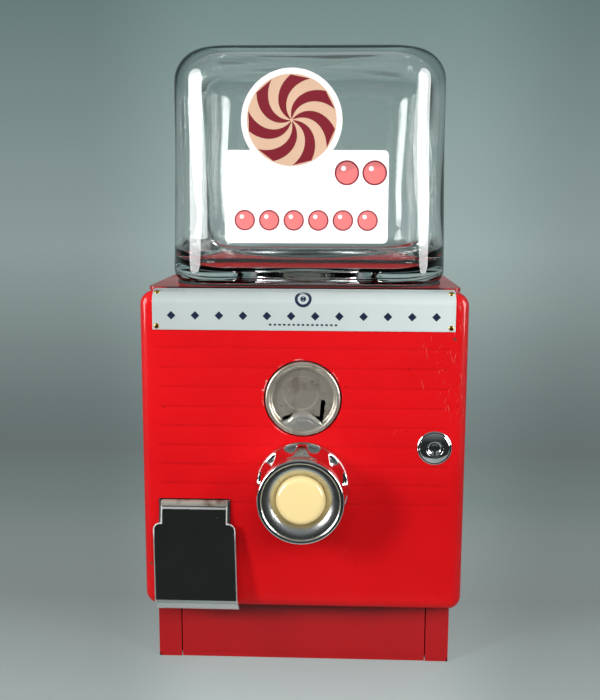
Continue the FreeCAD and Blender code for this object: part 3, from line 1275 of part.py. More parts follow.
def knob():
    """The fluted knob: rear ring, tapered body, rolled rim, dished face and hollow back."""
    dish = KNOB_LENGTH - KNOB_DISH_DEPTH
    web = dish - KNOB_HOLLOW_WALL
    ring_top = KNOB_GAP + KNOB_RING
    rim = KNOB_LENGTH - KNOB_RIM_BEAD
    profile = [(SHAFT_R + RUN_FIT, KNOB_GAP), (KNOB_BOSS_R, KNOB_GAP), (KNOB_BOSS_R, web),
               (KNOB_NECK_R - KNOB_HOLLOW_WALL, web), (KNOB_BODY_R - KNOB_HOLLOW_WALL, KNOB_GAP),
               (KNOB_RING_R - KNOB_RING_EDGE, KNOB_GAP), (KNOB_RING_R, KNOB_GAP + KNOB_RING_EDGE),
               (KNOB_RING_R, ring_top - KNOB_RING_EDGE), (KNOB_RING_R - KNOB_RING_EDGE, ring_top),
               (KNOB_BODY_R, ring_top + KNOB_RIM_EDGE), (KNOB_WAIST_R, KNOB_WAIST),
               (KNOB_NECK_R, KNOB_NECK), (KNOB_NECK_R, KNOB_FLARE),
               (KNOB_RIM_R, rim - KNOB_RIM_BEAD), (KNOB_RIM_R, rim),
               (KNOB_RIM_R - KNOB_RIM_EDGE, KNOB_LENGTH - KNOB_RIM_EDGE),
               (KNOB_RIM_R - KNOB_RIM_BEAD, KNOB_LENGTH),
               (KNOB_RIM_R - 2 * KNOB_RIM_BEAD, KNOB_LENGTH - KNOB_RIM_EDGE),
               ((KNOB_RIM_R + INSERT_R) / 2, dish + KNOB_DISH_FOOT), (INSERT_R + SEAT_GAP, dish),
               (SHAFT_R + RUN_FIT, dish)]
    body = turned(profile, point(0, FRONT_Y, KNOB_Z), Y_AXIS * -1)
    centre_r = KNOB_BODY_R - FLUTE_DEPTH + FLUTE_R
    for n in range(FLUTE_COUNT):
        angle = 2 * math.pi * (n + 0.5) / FLUTE_COUNT
        x = centre_r * math.sin(angle)
        z = KNOB_Z + centre_r * math.cos(angle)
        start = point(x, FRONT_Y - FLUTE_START, z)
        end = point(x, FRONT_Y - FLUTE_END, z)
        straight = rod(FLUTE_R, start, Y_AXIS * -1, FLUTE_END - FLUTE_START)
        body = body.cut(straight.fuse(Part.makeSphere(FLUTE_R, end)).removeSplitter())
    return body


def knob_insert():
    """The cream disc in the knob's face."""
    low = FRONT_Y - KNOB_LENGTH + KNOB_DISH_DEPTH
    base = rod(INSERT_R, point(0, low, KNOB_Z), Y_AXIS * -1, INSERT_HEIGHT + INSERT_DOME)
    ball_radius = (INSERT_R ** 2 + INSERT_DOME ** 2) / (2 * INSERT_DOME)
    peak = low - INSERT_HEIGHT - INSERT_DOME
    ball = Part.makeSphere(ball_radius, point(0, peak + ball_radius, KNOB_Z))
    return base.common(ball)


def knob_shaft():
    """The shaft from inside the knob to the pinion."""
    front = FRONT_Y - KNOB_LENGTH + KNOB_DISH_DEPTH
    return rod(SHAFT_R, point(0, front, KNOB_Z), Y_AXIS, PINION_Y + PINION_FACE / 2 - front)


def coin_wheel():
    """The disc that carries the coin round, with two coin pockets."""
    wheel = rod(COIN_WHEEL_R, point(0, COIN_WHEEL_Y, KNOB_Z), Y_AXIS, COIN_WHEEL_THICK)
    for side in (-1, 1):
        pocket = rod(COIN_R + COIN_PLAY, point(0, COIN_WHEEL_Y, KNOB_Z + side * COIN_WHEEL_R), Y_AXIS,
                     COIN_WHEEL_THICK)
        wheel = wheel.cut(pocket)
    return wheel.cut(rod(SHAFT_R, point(0, COIN_WHEEL_Y, KNOB_Z), Y_AXIS, COIN_WHEEL_THICK))


def ratchet_wheel():
    """The saw-toothed disc that stops the knob turning back."""
    corners = []
    step = 2 * math.pi / RATCHET_TEETH
    for n in range(RATCHET_TEETH):
        for radius, angle in ((RATCHET_R, n * step), (RATCHET_ROOT_R, (n + RATCHET_TOOTH_TIP) * step)):
            corners.append(point(radius * math.cos(angle), RATCHET_Y,
                                 KNOB_Z + radius * math.sin(angle)))
    wheel = prism(corners, Y_AXIS * RATCHET_THICK)
    return wheel.cut(rod(SHAFT_R, point(0, RATCHET_Y, KNOB_Z), Y_AXIS, RATCHET_THICK))


def drive_pinion():
    """The straight-sided pinion under the crown gear, with a tooth at the top."""
    slope = math.tan(math.radians(PRESSURE_DEG))
    tip_r = PINION_PITCH_R + TOOTH_REACH
    root_r = PINION_PITCH_R - TOOTH_REACH - TOOTH_GAP
    tip_half = math.atan((PINION_TOOTH / 2 - TOOTH_REACH * slope) / tip_r)
    root_half = math.atan((PINION_TOOTH / 2 + (TOOTH_REACH + TOOTH_GAP) * slope) / root_r)
    corners = []
    for n in range(PINION_TEETH):
        middle = 2 * math.pi * n / PINION_TEETH
        for radius, offset in ((root_r, -root_half), (tip_r, -tip_half), (tip_r, tip_half),
                               (root_r, root_half)):
            angle = middle + offset
            corners.append(point(radius * math.sin(angle), PINION_Y - PINION_FACE / 2,
                                 KNOB_Z + radius * math.cos(angle)))
    pinion = prism(corners, Y_AXIS * PINION_FACE)
    return pinion.cut(rod(SHAFT_R, point(0, PINION_Y - PINION_FACE, KNOB_Z), Y_AXIS, 3 * PINION_FACE))


def shaft_collar():
    """The ring behind the bearing plate that keeps the shaft in place."""
    return tube(SHAFT_COLLAR_R, SHAFT_R, point(0, BEARING_Y + BEARING_THICK + SEAT_GAP, KNOB_Z),
                Y_AXIS, SHAFT_COLLAR)


def main():
    os.makedirs("parts", exist_ok=True)
    save("cabinet_shell", cabinet_shell())
    save("top_plate", top_plate())
    save("base_left_channel", base_channel(-1))
    save("base_right_channel", base_channel(1))
    save("base_front_panel", base_panel(True))
    save("base_rear_panel", base_panel(False))
    save("base_floor", base_floor())
    save("rubber_feet", *rubber_feet())
    save("base_screws", *base_screws())
    save("lock_strike", lock_strike())
    save("hinge_bracket_lower", hinge_bracket(LOWER_ARM_Z))
    save("hinge_bracket_upper", hinge_bracket(UPPER_ARM_Z))
    save("hinge_pins", *hinge_pins())
    save("cash_box", cash_box())
    save("globe", globe())
    save("globe_gasket", globe_gasket())
    save("globe_collar", globe_collar())
    save("collar_screws", *collar_screws())
    save("hopper", hopper())
    save("cross_bar", cross_bar())
    save("bar_screws", *bar_screws())
    save("wheel_floor", wheel_floor())
    save("portion_guard", portion_guard())
    save("portion_brush", portion_brush())
    save("portion_wheel", portion_wheel())
    save("crown_gear", crown_gear())
    save("wheel_axle", wheel_axle())
    save("axle_clip", axle_clip())
    save("agitator", agitator())
    save("candy_chute", candy_chute())
    save("front_door", front_door())
    save("nameplate", nameplate())
    save("nameplate_screws", *nameplate_screws())
    save("coin_entry_plate", coin_entry_plate())
    save("coin_lip", coin_lip())
    save("spout", spout())
    save("flap_pin", flap_pin())
    save("flap", flap())
    save("lock_cylinder", lock_cylinder())
    save("lock_nut", lock_nut())
    save("lock_plug", lock_plug())
    save("lock_cam", lock_cam())
    save("cam_screw", cam_screw())
    save("hinge_arm_lower", hinge_arm(LOWER_ARM_Z))
    save("hinge_arm_upper", hinge_arm(UPPER_ARM_Z))
    save("mechanism_plate", mechanism_plate())
    save("mechanism_screws", *mechanism_screws())
    save("bearing_posts", *bearing_posts())
    save("bearing_plate", bearing_plate())
    save("coin_track", *coin_track())
    save("knob_bush", knob_bush())
    save("coin_dog", coin_dog())
    save("ratchet_pawl", ratchet_pawl())
    save("knob", knob())
    save("knob_insert", knob_insert())
    save("knob_shaft", knob_shaft())
    save("coin_wheel", coin_wheel())
    save("ratchet_wheel", ratchet_wheel())
    save("drive_pinion", drive_pinion())
    save("shaft_collar", shaft_collar())


main()
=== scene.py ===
# %% [markdown]
# # A candy vending machine in red enamel and chrome
#
# A square glass globe stands on a red steel body. The front door carries everything the
# buyer touches: a dish for the coin, a fluted knob, a lock and a flap over the candy's way out.
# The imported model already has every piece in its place, so this lesson only gives the
# pieces that the eye rests on a finer form, and every surface a finish of its own.

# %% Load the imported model
import math

import bmesh
import bpy
import numpy as np
from mathutils import Matrix, Vector, noise


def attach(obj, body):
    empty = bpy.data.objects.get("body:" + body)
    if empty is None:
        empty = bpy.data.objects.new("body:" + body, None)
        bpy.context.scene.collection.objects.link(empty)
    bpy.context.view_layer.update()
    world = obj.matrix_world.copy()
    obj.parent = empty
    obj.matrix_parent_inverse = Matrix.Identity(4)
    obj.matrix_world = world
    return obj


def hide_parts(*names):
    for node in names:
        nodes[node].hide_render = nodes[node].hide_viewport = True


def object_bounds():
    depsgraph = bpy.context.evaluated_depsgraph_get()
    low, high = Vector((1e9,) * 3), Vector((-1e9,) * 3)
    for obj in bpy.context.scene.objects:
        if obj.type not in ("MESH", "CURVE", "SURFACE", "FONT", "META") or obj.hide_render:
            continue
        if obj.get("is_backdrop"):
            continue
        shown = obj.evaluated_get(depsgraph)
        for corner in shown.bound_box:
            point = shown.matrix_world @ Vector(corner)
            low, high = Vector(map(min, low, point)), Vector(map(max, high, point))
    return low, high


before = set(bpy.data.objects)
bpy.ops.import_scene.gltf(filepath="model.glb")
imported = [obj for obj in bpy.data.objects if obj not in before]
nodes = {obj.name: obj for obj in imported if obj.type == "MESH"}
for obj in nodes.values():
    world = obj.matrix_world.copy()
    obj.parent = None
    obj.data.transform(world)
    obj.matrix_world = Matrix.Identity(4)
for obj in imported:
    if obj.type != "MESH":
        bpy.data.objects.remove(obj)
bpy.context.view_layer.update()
MM = 0.001

# %% [markdown]
# ## The camera
#
# The photograph was taken from in front of the globe's foot, a little from the right, and
# looks down by nine degrees. The place and the three turns of the camera were fitted to the
# corners and screws of the body, so they are written down as they were found, instead of a
# target to look at.

# %% Stand the camera where the photograph was taken
lens_data = bpy.data.cameras.new("camera")
lens_data.lens = 48.63
lens_data.sensor_width = 36
camera = bpy.data.objects.new("camera", lens_data)
bpy.context.scene.collection.objects.link(camera)
LOOK_LEFT, LOOK_DOWN, LEAN_OVER = math.radians(2.293), math.radians(9.003), math.radians(0.191)
turn = Matrix.Rotation(LOOK_LEFT, 4, "Z") @ Matrix.Rotation(math.pi / 2 - LOOK_DOWN, 4, "X")
turn = turn @ Matrix.Rotation(LEAN_OVER, 4, "Z")
camera.matrix_world = Matrix.Translation((0.0212, -0.67771, 0.30135)) @ turn
bpy.context.scene.camera = camera
ahead = turn @ Vector((0, 0, -1))
print("camera looks along", [round(v, 3) for v in ahead])

# %% [markdown]
# ## Small tools for meshes
#
# Three tools make nearly every form here. The first turns points in millimetres into an
# object and closes its seams. The second turns a profile round an axis, as a lathe does. The
# third marks edges sharper than a given angle, so that curved walls shade smoothly and
# real corners stay crisp.

# %% Points to a piece
MERGE = 0.00001


def make_piece(name, points, faces):
    """An object whose points are given in millimetres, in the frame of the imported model."""
    mesh = bpy.data.meshes.new(name)
    mesh.from_pydata([Vector(p) * MM for p in points], [], faces)
    piece = bpy.data.objects.new(name, mesh)
    bpy.context.scene.collection.objects.link(piece)
    form = bmesh.new()
    form.from_mesh(mesh)
    bmesh.ops.remove_doubles(form, verts=form.verts, dist=MERGE)
    bmesh.ops.recalc_face_normals(form, faces=form.faces)
    form.to_mesh(mesh)
    form.free()
    return piece


def smooth(piece, angle=35):
    """Shades the piece smoothly, but keeps edges sharper than angle degrees."""
    form = bmesh.new()
    form.from_mesh(piece.data)
    for face in form.faces:
        face.smooth = True
    for edge in form.edges:
        edge.smooth = edge.is_manifold and edge.calc_face_angle(0) < math.radians(angle)
    form.to_mesh(piece.data)
    form.free()
    return piece


# %% Rings, arcs and a lathe
def join_rings(count, rings, closed=False):
    """Faces between rings of count points; closed also joins the last ring to the first."""
    faces = []
    for ring in range(rings if closed else rings - 1):
        low, high = ring * count, (ring + 1) % rings * count
        for n in range(count):
            after = (n + 1) % count
            faces.append((low + n, low + after, high + after, high + n))
    return faces


def arc(x, y, radius, start, end, count):
    """Count points of an arc round (x, y), from start to end in degrees."""
    turns = np.radians(np.linspace(start, end, count))
    return [(x + radius * math.cos(a), y + radius * math.sin(a)) for a in turns]


def lathe(name, profile, centre, steps=96, upright=False, closed=True):
    """Turns (radius, reach) points round an axis that points to the front, or up."""
    points = []
    for radius, reach in profile:
        for step in range(steps):
            angle = 2 * math.pi * step / steps
            across, along = radius * math.sin(angle), radius * math.cos(angle)
            offset = (across, along, reach) if upright else (across, -reach, along)
            points.append(Vector(centre) + Vector(offset))
    return make_piece(name, points, join_rings(steps, len(profile), closed))


# %% Modifiers to a plain mesh
def settle(piece):
    """Applies the piece's modifiers, so that its mesh is plain."""
    depsgraph = bpy.context.evaluated_depsgraph_get()
    plain = bpy.data.meshes.new_from_object(piece.evaluated_get(depsgraph), depsgraph=depsgraph)
    piece.modifiers.clear()
    piece.data = plain
    return piece


def carve(piece, *tools):
    """Cuts the tools out of the piece and throws them away."""
    for tool in tools:
        cut = piece.modifiers.new("cut", "BOOLEAN")
        cut.object = tool
        cut.solver = "EXACT"
    settle(piece)
    for tool in tools:
        bpy.data.objects.remove(tool)
    return piece


def soften(piece, width, segments=2, angle=50):
    """Rounds the piece's sharp edges by width millimetres."""
    bevel = piece.modifiers.new("soft edges", "BEVEL")
    bevel.width = width * MM
    bevel.segments = segments
    bevel.angle_limit = math.radians(angle)
    return settle(piece)


def finish_with(piece, material, body, slot, *replaced):
    """Gives the piece its finish, lets it ride on a body and stand for nodes."""
    piece.data.materials.clear()
    piece.data.materials.append(material)
    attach(piece, body)
    if replaced:
        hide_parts(*replaced)
    print(piece.name, "has", len(piece.data.polygons), "faces and rides on", body)
    return piece


# %% [markdown]
# ## Small tools for node trees
#
# Shader nodes and geometry nodes are built by the same helper: it adds one node, sets its
# settings, and then fills each input with a number or with a link from another node. What a
# node puts out is wrapped as a Flow, so that plain arithmetic on it adds the math nodes.

# %% A value that runs through a tree
class Flow:
    """What a node puts out; sums and products of flows are nodes of the same tree."""

    def __init__(self, tree, socket):
        self.tree, self.socket = tree, socket

    def __neg__(self):
        return self * -1.0

    def __abs__(self):
        return calc("ABSOLUTE", self)


def put(tree, kind, inputs=(), **settings):
    """Adds a node; its inputs are filled by name from a dict, or in order from a list."""
    node = tree.nodes.new(kind)
    for name, value in settings.items():
        setattr(node, name, value)
    for name, value in inputs.items() if isinstance(inputs, dict) else enumerate(inputs):
        if isinstance(value, Flow):
            tree.links.new(value.socket, node.inputs[name])
        else:
            node.inputs[name].default_value = value
    return node


def get(tree, kind, inputs=(), output=0, **settings):
    """Adds a node and returns what it puts out."""
    return Flow(tree, put(tree, kind, inputs, **settings).outputs[output])


def tree_of(*values):
    """The tree that the first flow among the values belongs to."""
    return next(value.tree for value in values if isinstance(value, Flow))


def calc(operation, *values):
    """One step of arithmetic on numbers and flows."""
    return get(tree_of(*values), "ShaderNodeMath", values, operation=operation)


for sign, step in {"add": "ADD", "sub": "SUBTRACT", "mul": "MULTIPLY", "truediv": "DIVIDE"}.items():
    setattr(Flow, f"__{sign}__", lambda flow, other, step=step: calc(step, flow, other))
    setattr(Flow, f"__r{sign}__", lambda flow, other, step=step: calc(step, other, flow))


# %% Steps that many trees use
def hypot(across, along):
    """The length of two parts together."""
    return calc("SQRT", across * across + along * along)


def above(value, floor):
    """How far a value lies above the floor, or nothing."""
    return calc("MAXIMUM", value - floor, 0.0)


def fade(value, start, end, low=0.0, high=1.0, how="SMOOTHSTEP"):
    """Moves from low to high while value goes from start to end."""
    limits = {"Value": value, "From Min": start, "From Max": end, "To Min": low, "To Max": high}
    return get(value.tree, "ShaderNodeMapRange", limits, "Result", interpolation_type=how)


def parts(value, kind="XYZ"):
    """The three parts of a vector, or of a colour."""
    node = put(value.tree, "ShaderNodeSeparate" + kind, [value])
    return [Flow(value.tree, socket) for socket in node.outputs]


def vector(x, y, z):
    """Three parts as one vector."""
    return get(tree_of(x, y, z), "ShaderNodeCombineXYZ", [x, y, z])


def clouds(at, scale, detail):
    """Soft noise."""
    return get(at.tree, "ShaderNodeTexNoise", {"Vector": at, "Scale": scale, "Detail": detail})


def new_tree(family, name, gives, **inputs):
    """A tree with named inputs, each a first value or a kind; returns a flow for each input."""
    tree = bpy.data.node_groups.new(name, family + "NodeTree")
    kinds = {int: "Int", float: "Float", tuple: "Vector"}
    for label, value in inputs.items():
        kind = "NodeSocket" + kinds.get(type(value), str(value))
        socket = tree.interface.new_socket(label.replace("_", " "), in_out="INPUT", socket_type=kind)
        if not isinstance(value, str):
            socket.default_value = value
    tree.interface.new_socket(gives, in_out="OUTPUT", socket_type="NodeSocket" + gives)
    return [Flow(tree, socket) for socket in list(put(tree, "NodeGroupInput").outputs)[:-1]]


def end_tree(result):
    """Leads the result out of its tree and returns the tree."""
    put(result.tree, "NodeGroupOutput", [result])
    print("tree", result.tree.name, len(result.tree.nodes), "nodes")
    return result.tree


# %% Colours and materials
ORIGIN = (0.0, 0.0, 0.0)


def tone(*levels):
    """A colour as a screen shows it, 0 to 255, turned into the linear values shaders use."""
    shares = [level / 255 for level in levels]
    return (*[s / 12.92 if s <= 0.04045 else ((s + 0.055) / 1.055) ** 2.4 for s in shares], 1.0)


def blend(factor, first, second, how="MIX"):
    """Mixes two colours."""
    inputs = {0: factor, 6: first, 7: second}
    return get(tree_of(factor, first, second), "ShaderNodeMix", inputs, 2, data_type="RGBA", blend_type=how)


def shaded(colour, share):
    """A colour times a share of light."""
    return blend(1.0, colour, get(tree_of(share), "ShaderNodeCombineColor", [share] * 3), "MULTIPLY")


def feed(node, label, value):
    """Leads a value into one input of a node."""
    value.tree.links.new(value.socket, node.inputs[label])


def fed(node, label):
    """What leads into that input so far."""
    return Flow(node.id_data, node.inputs[label].links[0].from_socket)


def bump(shader, height, strength, distance):
    """Raises or dents a surface by a height."""
    inputs = {"Height": height, "Strength": strength, "Distance": distance}
    feed(shader, "Normal", get(height.tree, "ShaderNodeBump", inputs))


def opened(material):
    """A material's shader, place and normal, to lay more on it."""
    tree = material.node_tree
    ports = put(tree, "ShaderNodeTexCoord").outputs
    return tree.nodes["Principled BSDF"], Flow(tree, ports["Object"]), Flow(tree, ports["Normal"])


def new_material(name, colour, **surface):
    """A material with one Principled shader; returns it with its shader and place."""
    material = bpy.data.materials.new(name)
    material.use_nodes = True
    shader, at, _ = opened(material)
    for label, value in {"Base_Color": colour, **surface}.items():
        shader.inputs[label.replace("_", " ")].default_value = value
    return material, shader, at


# %% [markdown]
# ## Wear that many finishes share
#
# Old enamel, chrome and tin age in the same few ways: hair scratches, specks where the
# surface has pitted, tone that is never quite even, and chips. Each is a shader group
# with named inputs, built once, and each finish uses it with its own values. The groups put
# out masks only; the shader itself stays in the material.

# %% Hair scratches
def new_group(name, **inputs):
    """A shader group that puts out one value."""
    return new_tree("Shader", name, "Float", Vector=ORIGIN, **inputs)


at, scale, length, lean, cover = new_group("hair scratches", Scale=900.0, Length=30.0, Lean=0.4, Cover=0.5)
layers = []
for sign in (1.0, -1.0):
    leant = {"Vector": at, "Angle": lean * sign}
    leant = get(at.tree, "ShaderNodeVectorRotate", leant, rotation_type="Y_AXIS")
    drawn = [leant, vector(1.0, 1.0, 1.0 / length)]
    drawn = get(at.tree, "ShaderNodeVectorMath", drawn, operation="MULTIPLY")
    layers.append(fade(clouds(drawn, scale, 1.0), 0.70, 0.76))
edge = 1.0 - cover
shown = fade(clouds(at, 45.0, 2.0), edge, edge + 0.12, how="LINEAR")
scratches = end_tree(calc("MAXIMUM", *layers) * shown)

# %% Specks and pits
at, scale, size, share = new_group("specks", Scale=300.0, Size=0.25, Share=0.2)
cells = put(at.tree, "ShaderNodeTexVoronoi", {"Vector": at, "Scale": scale}).outputs
red, green, _ = parts(Flow(at.tree, cells["Color"]), "Color")
near = calc("LESS_THAN", Flow(at.tree, cells["Distance"]), size * green)
specks = end_tree(near * calc("LESS_THAN", red, share))

# %% Uneven tone
at, scale, low, high = new_group("uneven tone", Scale=20.0, Low=0.0, High=1.0)
patches = end_tree(fade(clouds(at, scale, 4.0), 0.3, 0.7, low, high, "LINEAR"))

# %% A chip at one place, which an inner radius turns into a ring
at, place, radius, inner = new_group("chip at a place", Place=ORIGIN, Radius=0.001, Inner=0.0)
away = get(at.tree, "ShaderNodeVectorMath", [at, place], "Value", operation="DISTANCE")
away = away + (clouds(at, 700.0, 3.0) - 0.5) * 0.0016
chip = end_tree(calc("LESS_THAN", away, radius) * calc("GREATER_THAN", away, inner))


def aged(group, at, **values):
    """Places one of the wear groups in a material and returns what it puts out."""
    return get(at.tree, "ShaderNodeGroup", {"Vector": at, **values}, node_tree=group)


# %% [markdown]
# ## The finishes
#
# The body is stove enamel: a deep, slightly orange-peeled red. It is a coloured base with
# a thin clear coat. Chips show the pale undercoat, and scratches are lighter than the paint.
# The pressed lines of the door hold a little dirt and painted shade, a darker line which follows
# the height of the lines. All the enamel is painted darker towards the bottom, as shade.

# %% What the door's wear and painted shade follow
GROOVE_TOP, GROOVE_PITCH, GROOVE_COUNT = 210.9, 12.4, 9
FACE_Y, COIN_Z, KNOB_Z = -102.0, 179.3, 122.8
LOCK_X, LOCK_Z = 82.3, 148.9
FLAP_X, FLAP_TURN_Z, FLAP_SHEAR = -68.6, 98.9, 0.042
# Each chip as X, Z, radius and inner radius in millimetres.
CHIPS = (
    (0, COIN_Z, 25.2, 24.55), (-24.9, 184.4, 0.5, 0), (-22.6, 190.6, 0.5, 0), (93.0, 217.5, 1.1, 0),
    (-97.5, 70.0, 1.2, 0),
)


def door_wear(paint, at):
    """Dirt and painted shade in the pressed lines, a scratched corner and chips."""
    x, _, z = parts(at)
    # Dirt and painted shade: a dark red line along each pressed line.
    steps = (GROOVE_TOP * MM - z) / (GROOVE_PITCH * MM)
    middle = (GROOVE_COUNT - 0.5) / 2
    line = fade(abs(steps - calc("ROUND", steps)), 0.085, 0.01)
    line = line * calc("COMPARE", steps, middle - 0.25, middle + 0.2) * fade(abs(x), 0.092, 0.088)
    line = line * aged(patches, at, Scale=16.0, Low=0.0, High=0.26)
    paint = blend(line, paint, tone(120, 8, 14))
    corner = fade(x, 0.068, 0.088) * fade(z, 0.155, 0.195)
    rubbed = aged(scratches, at, Scale=620.0, Length=12.0, Lean=0.25, Cover=0.8) * 0.7
    fine = aged(scratches, at, Scale=1500.0, Length=9.0, Lean=0.12, Cover=0.9) * 0.6
    paint = blend(calc("MAXIMUM", rubbed, fine) * corner, paint, tone(214, 140, 134))
    for chip_x, chip_z, radius, inner in CHIPS:
        place = (chip_x * MM, FACE_Y * MM, chip_z * MM)
        gone = aged(chip, at, Place=place, Radius=radius * MM, Inner=inner * MM)
        if inner:
            gone = gone * aged(patches, at, Scale=90.0, Low=-1.3, High=0.95)
        pale = tone(232, 190, 186) if inner or radius < 1 else tone(120, 70, 60)
        paint = blend(gone, paint, pale)
    return paint


# %% Red enamel
def red_enamel(name, levels, wear=0.35, door=False):
    """Stove enamel, painted darker towards the bottom as shade; the door's own also has the door's wear and
    the painted shade of its pressed lines.
    """
    surface = {"Coat_Weight": 0.4, "Coat_Roughness": 0.06, "Specular_IOR_Level": 0.1}
    material, shader, at = new_material(name, tone(*levels), **surface)
    height = parts(at)[2]
    marks = aged(scratches, at, Scale=1100.0, Length=40.0, Lean=0.5, Cover=wear)
    pits = aged(specks, at, Scale=230.0, Size=0.22, Share=0.05)
    paint = shaded(tone(*levels), aged(patches, at, Scale=14.0, Low=0.9, High=1.06))
    # Painted shade: the enamel is darker towards the bottom, where less lamp light falls.
    paint = shaded(paint, fade(height, 0.06, 0.19, 0.82, 1.0))
    paint = blend(marks * 0.22, paint, tone(226, 96, 92))
    if door:
        feed(shader, "Coat Weight", fade(height, 0.14, 0.23, 0.1, 0.5))
        paint = door_wear(paint, at)
    feed(shader, "Base Color", blend(pits * 0.5, paint, tone(110, 10, 14)))
    feed(shader, "Roughness", aged(patches, at, Scale=30.0, Low=0.3, High=0.42))
    bump(shader, clouds(at, 420.0, 2.0) * 0.3 - (pits + marks), 0.12, 0.0002)
    return material


def grimed(material, mask_of, levels, most):
    """Lays painted shade of one colour over an enamel; mask_of makes its mask from place and normal."""
    shader, at, facing = opened(material)
    mask = mask_of(parts(at), parts(facing)) * most
    feed(shader, "Base Color", blend(mask, fed(shader, "Base Color"), tone(*levels)))
    return material


def under_door(place, facing):
    """Painted shadow of the door's overhang on the strip of the base just under it, darkest in the middle."""
    return fade(place[2], 0.02, 0.039) * fade(abs(place[0]), 0.084, 0.04, 0.3, 1.0)


def behind_plate(place, facing):
    """Painted shade on the front edge of the top plate, below the glass."""
    return fade(facing[1], -0.4, -0.8) * fade(abs(place[0]), 0.09, 0.084)


door_red = red_enamel("red_enamel_door", (236, 22, 28), 0.42, door=True)
body_red = red_enamel("red_enamel_body", (214, 18, 24), 0.4)
# The base's top strip gets a painted shadow of the door above it.
base_red = grimed(red_enamel("red_enamel_base", (192, 21, 27), 0.3), under_door, (66, 20, 22), 0.8)
# The top plate's red is darker and greyer: dust together with painted shade on the flat top. Its front edge
# below the glass gets a painted shade of near black.
top_red = grimed(red_enamel("red_enamel_top", (176, 34, 36), 0.4), behind_plate, (24, 16, 16), 0.95)
print("enamel finishes", door_red.name, body_red.name, base_red.name, top_red.name)

# %% [markdown]
# Metals differ by their base colour and by how rough they are. A flat value looks like a
# computer's metal, so each gets an uneven roughness, hair scratches and pits. Nickel that
# people have rubbed with coins for years is dull, with brown where it has begun to rust.

# %% Metals
def metal(name, levels, low, high, wear=0.4, spots=0.1, stain=None, scale=1.0, grain=0.0, bare=1.0):
    """A metal whose roughness wanders from low to high; bare is the share without a dull film."""
    material, shader, at = new_material(name, tone(*levels), Metallic=bare)
    marks = aged(scratches, at, Scale=1300.0 * scale, Length=20.0, Lean=0.7, Cover=wear)
    pits = aged(specks, at, Scale=520.0 * scale, Size=0.3, Share=spots)
    rough = aged(patches, at, Scale=60.0, Low=low, High=high) + marks * 0.16 + pits * 0.3
    feed(shader, "Roughness", rough)
    look = shaded(tone(*levels), aged(patches, at, Scale=36.0, Low=0.88, High=1.05))
    if stain:
        look = blend(aged(patches, at, Scale=120.0, Low=-0.9, High=0.85) * 0.55, look, tone(*stain))
    feed(shader, "Base Color", blend(pits * 0.6, look, tone(96, 84, 74)))
    if grain:
        spangle = get(at.tree, "ShaderNodeTexVoronoi", {"Vector": at, "Scale": grain}, "Distance")
        marks = marks + spangle * 0.5
    bump(shader, -(marks + pits), 0.15, 0.0001)
    return material


chrome = metal("chrome_trim", (222, 224, 224), 0.05, 0.11, 0.36, 0.05)
# Painted shade: the flap's chrome is a darker copy of the trim's, for the dark room it mirrors.
flap_chrome = metal("chrome_flap", (200, 203, 200), 0.07, 0.12, 0.36, 0.015)
knob_chrome = metal("chrome_knob", (214, 216, 214), 0.06, 0.11, 0.36, 0.05)
nickel = metal("worn_nickel", (196, 191, 178), 0.28, 0.4, 0.45, 0.1, (130, 104, 84), 0.7, bare=0.62)
nickel_rim = metal("worn_nickel_rim", (204, 202, 194), 0.2, 0.3, 0.45, 0.08, bare=0.68)
zinc = metal("zinc_steel", (176, 180, 184), 0.3, 0.48, 0.45, 0.05, grain=160.0)
tin = metal("cash_tin", (188, 188, 182), 0.24, 0.4, 0.5, 0.1, (130, 112, 92), grain=90.0)
brass = metal("brass_parts", (206, 168, 92), 0.2, 0.34, 0.4, 0.12, (110, 78, 40))
gear = metal("gear_metal", (150, 148, 144), 0.3, 0.45, 0.3, 0.12)
metals = (chrome, flap_chrome, knob_chrome, nickel, nickel_rim, zinc, tin, brass, gear)
print("metals", [material.name for material in metals])

# %% [markdown]
# The flap's chrome is a little darker than the trim's, as painted shade. It gets painted highlights
# along its cut edges, shoulders and the bend below the roll, together with worn plating; the roll
# is painted dull and brown, rust together with a painted reflection of the red door; the lip is
# painted lighter, wear where fingers lift it together with a painted sheen. The knob's dish is
# satin, its bead is not.

# %% The flap's edges and the knob's dish
shader, at, facing = opened(flap_chrome)
x, _, z = parts(at)
off_middle = abs(x - FLAP_X * MM - above(FLAP_TURN_Z * MM - z, 0.0) * FLAP_SHEAR)
to_edge = hypot(above(off_middle, 0.0218), above(z, 0.0946))
# Painted highlight: a thin pale line round the shoulders and down the cut sides.
line = fade(to_edge, 0.0035, 0.0038) * fade(off_middle, 0.0202, 0.0205) * fade(z, 0.087, 0.094, 0.4, 0.95)
# Painted highlight on the edges that face sideways, together with worn plating.
bright = calc("MAXIMUM", fade(abs(parts(facing)[0]), 0.12, 0.5), line)
# The roll is painted dull grey-brown with rust: rust together with a painted reflection of the red door. The
# bend below it gets a painted highlight, and the lip a painted sheen together with wear.
roll_rust_and_reflection = fade(z, 0.1092, 0.1102)
bend_highlight = fade(z, 0.1074, 0.1080) * fade(z, 0.1094, 0.1087)
lip_wear_and_sheen = fade(z, 0.0485, 0.0475)
rust = roll_rust_and_reflection * aged(patches, at, Scale=130.0, Low=-0.6, High=1.0)
plated = fed(shader, "Base Color")
for mask, levels in (
    (bright, (250, 250, 246)), (roll_rust_and_reflection, (196, 190, 178)), (rust, (120, 84, 60)),
    (bend_highlight, (240, 242, 240)), (lip_wear_and_sheen, (226, 230, 228)),
):
    plated = blend(mask, plated, tone(*levels))
feed(shader, "Base Color", plated)
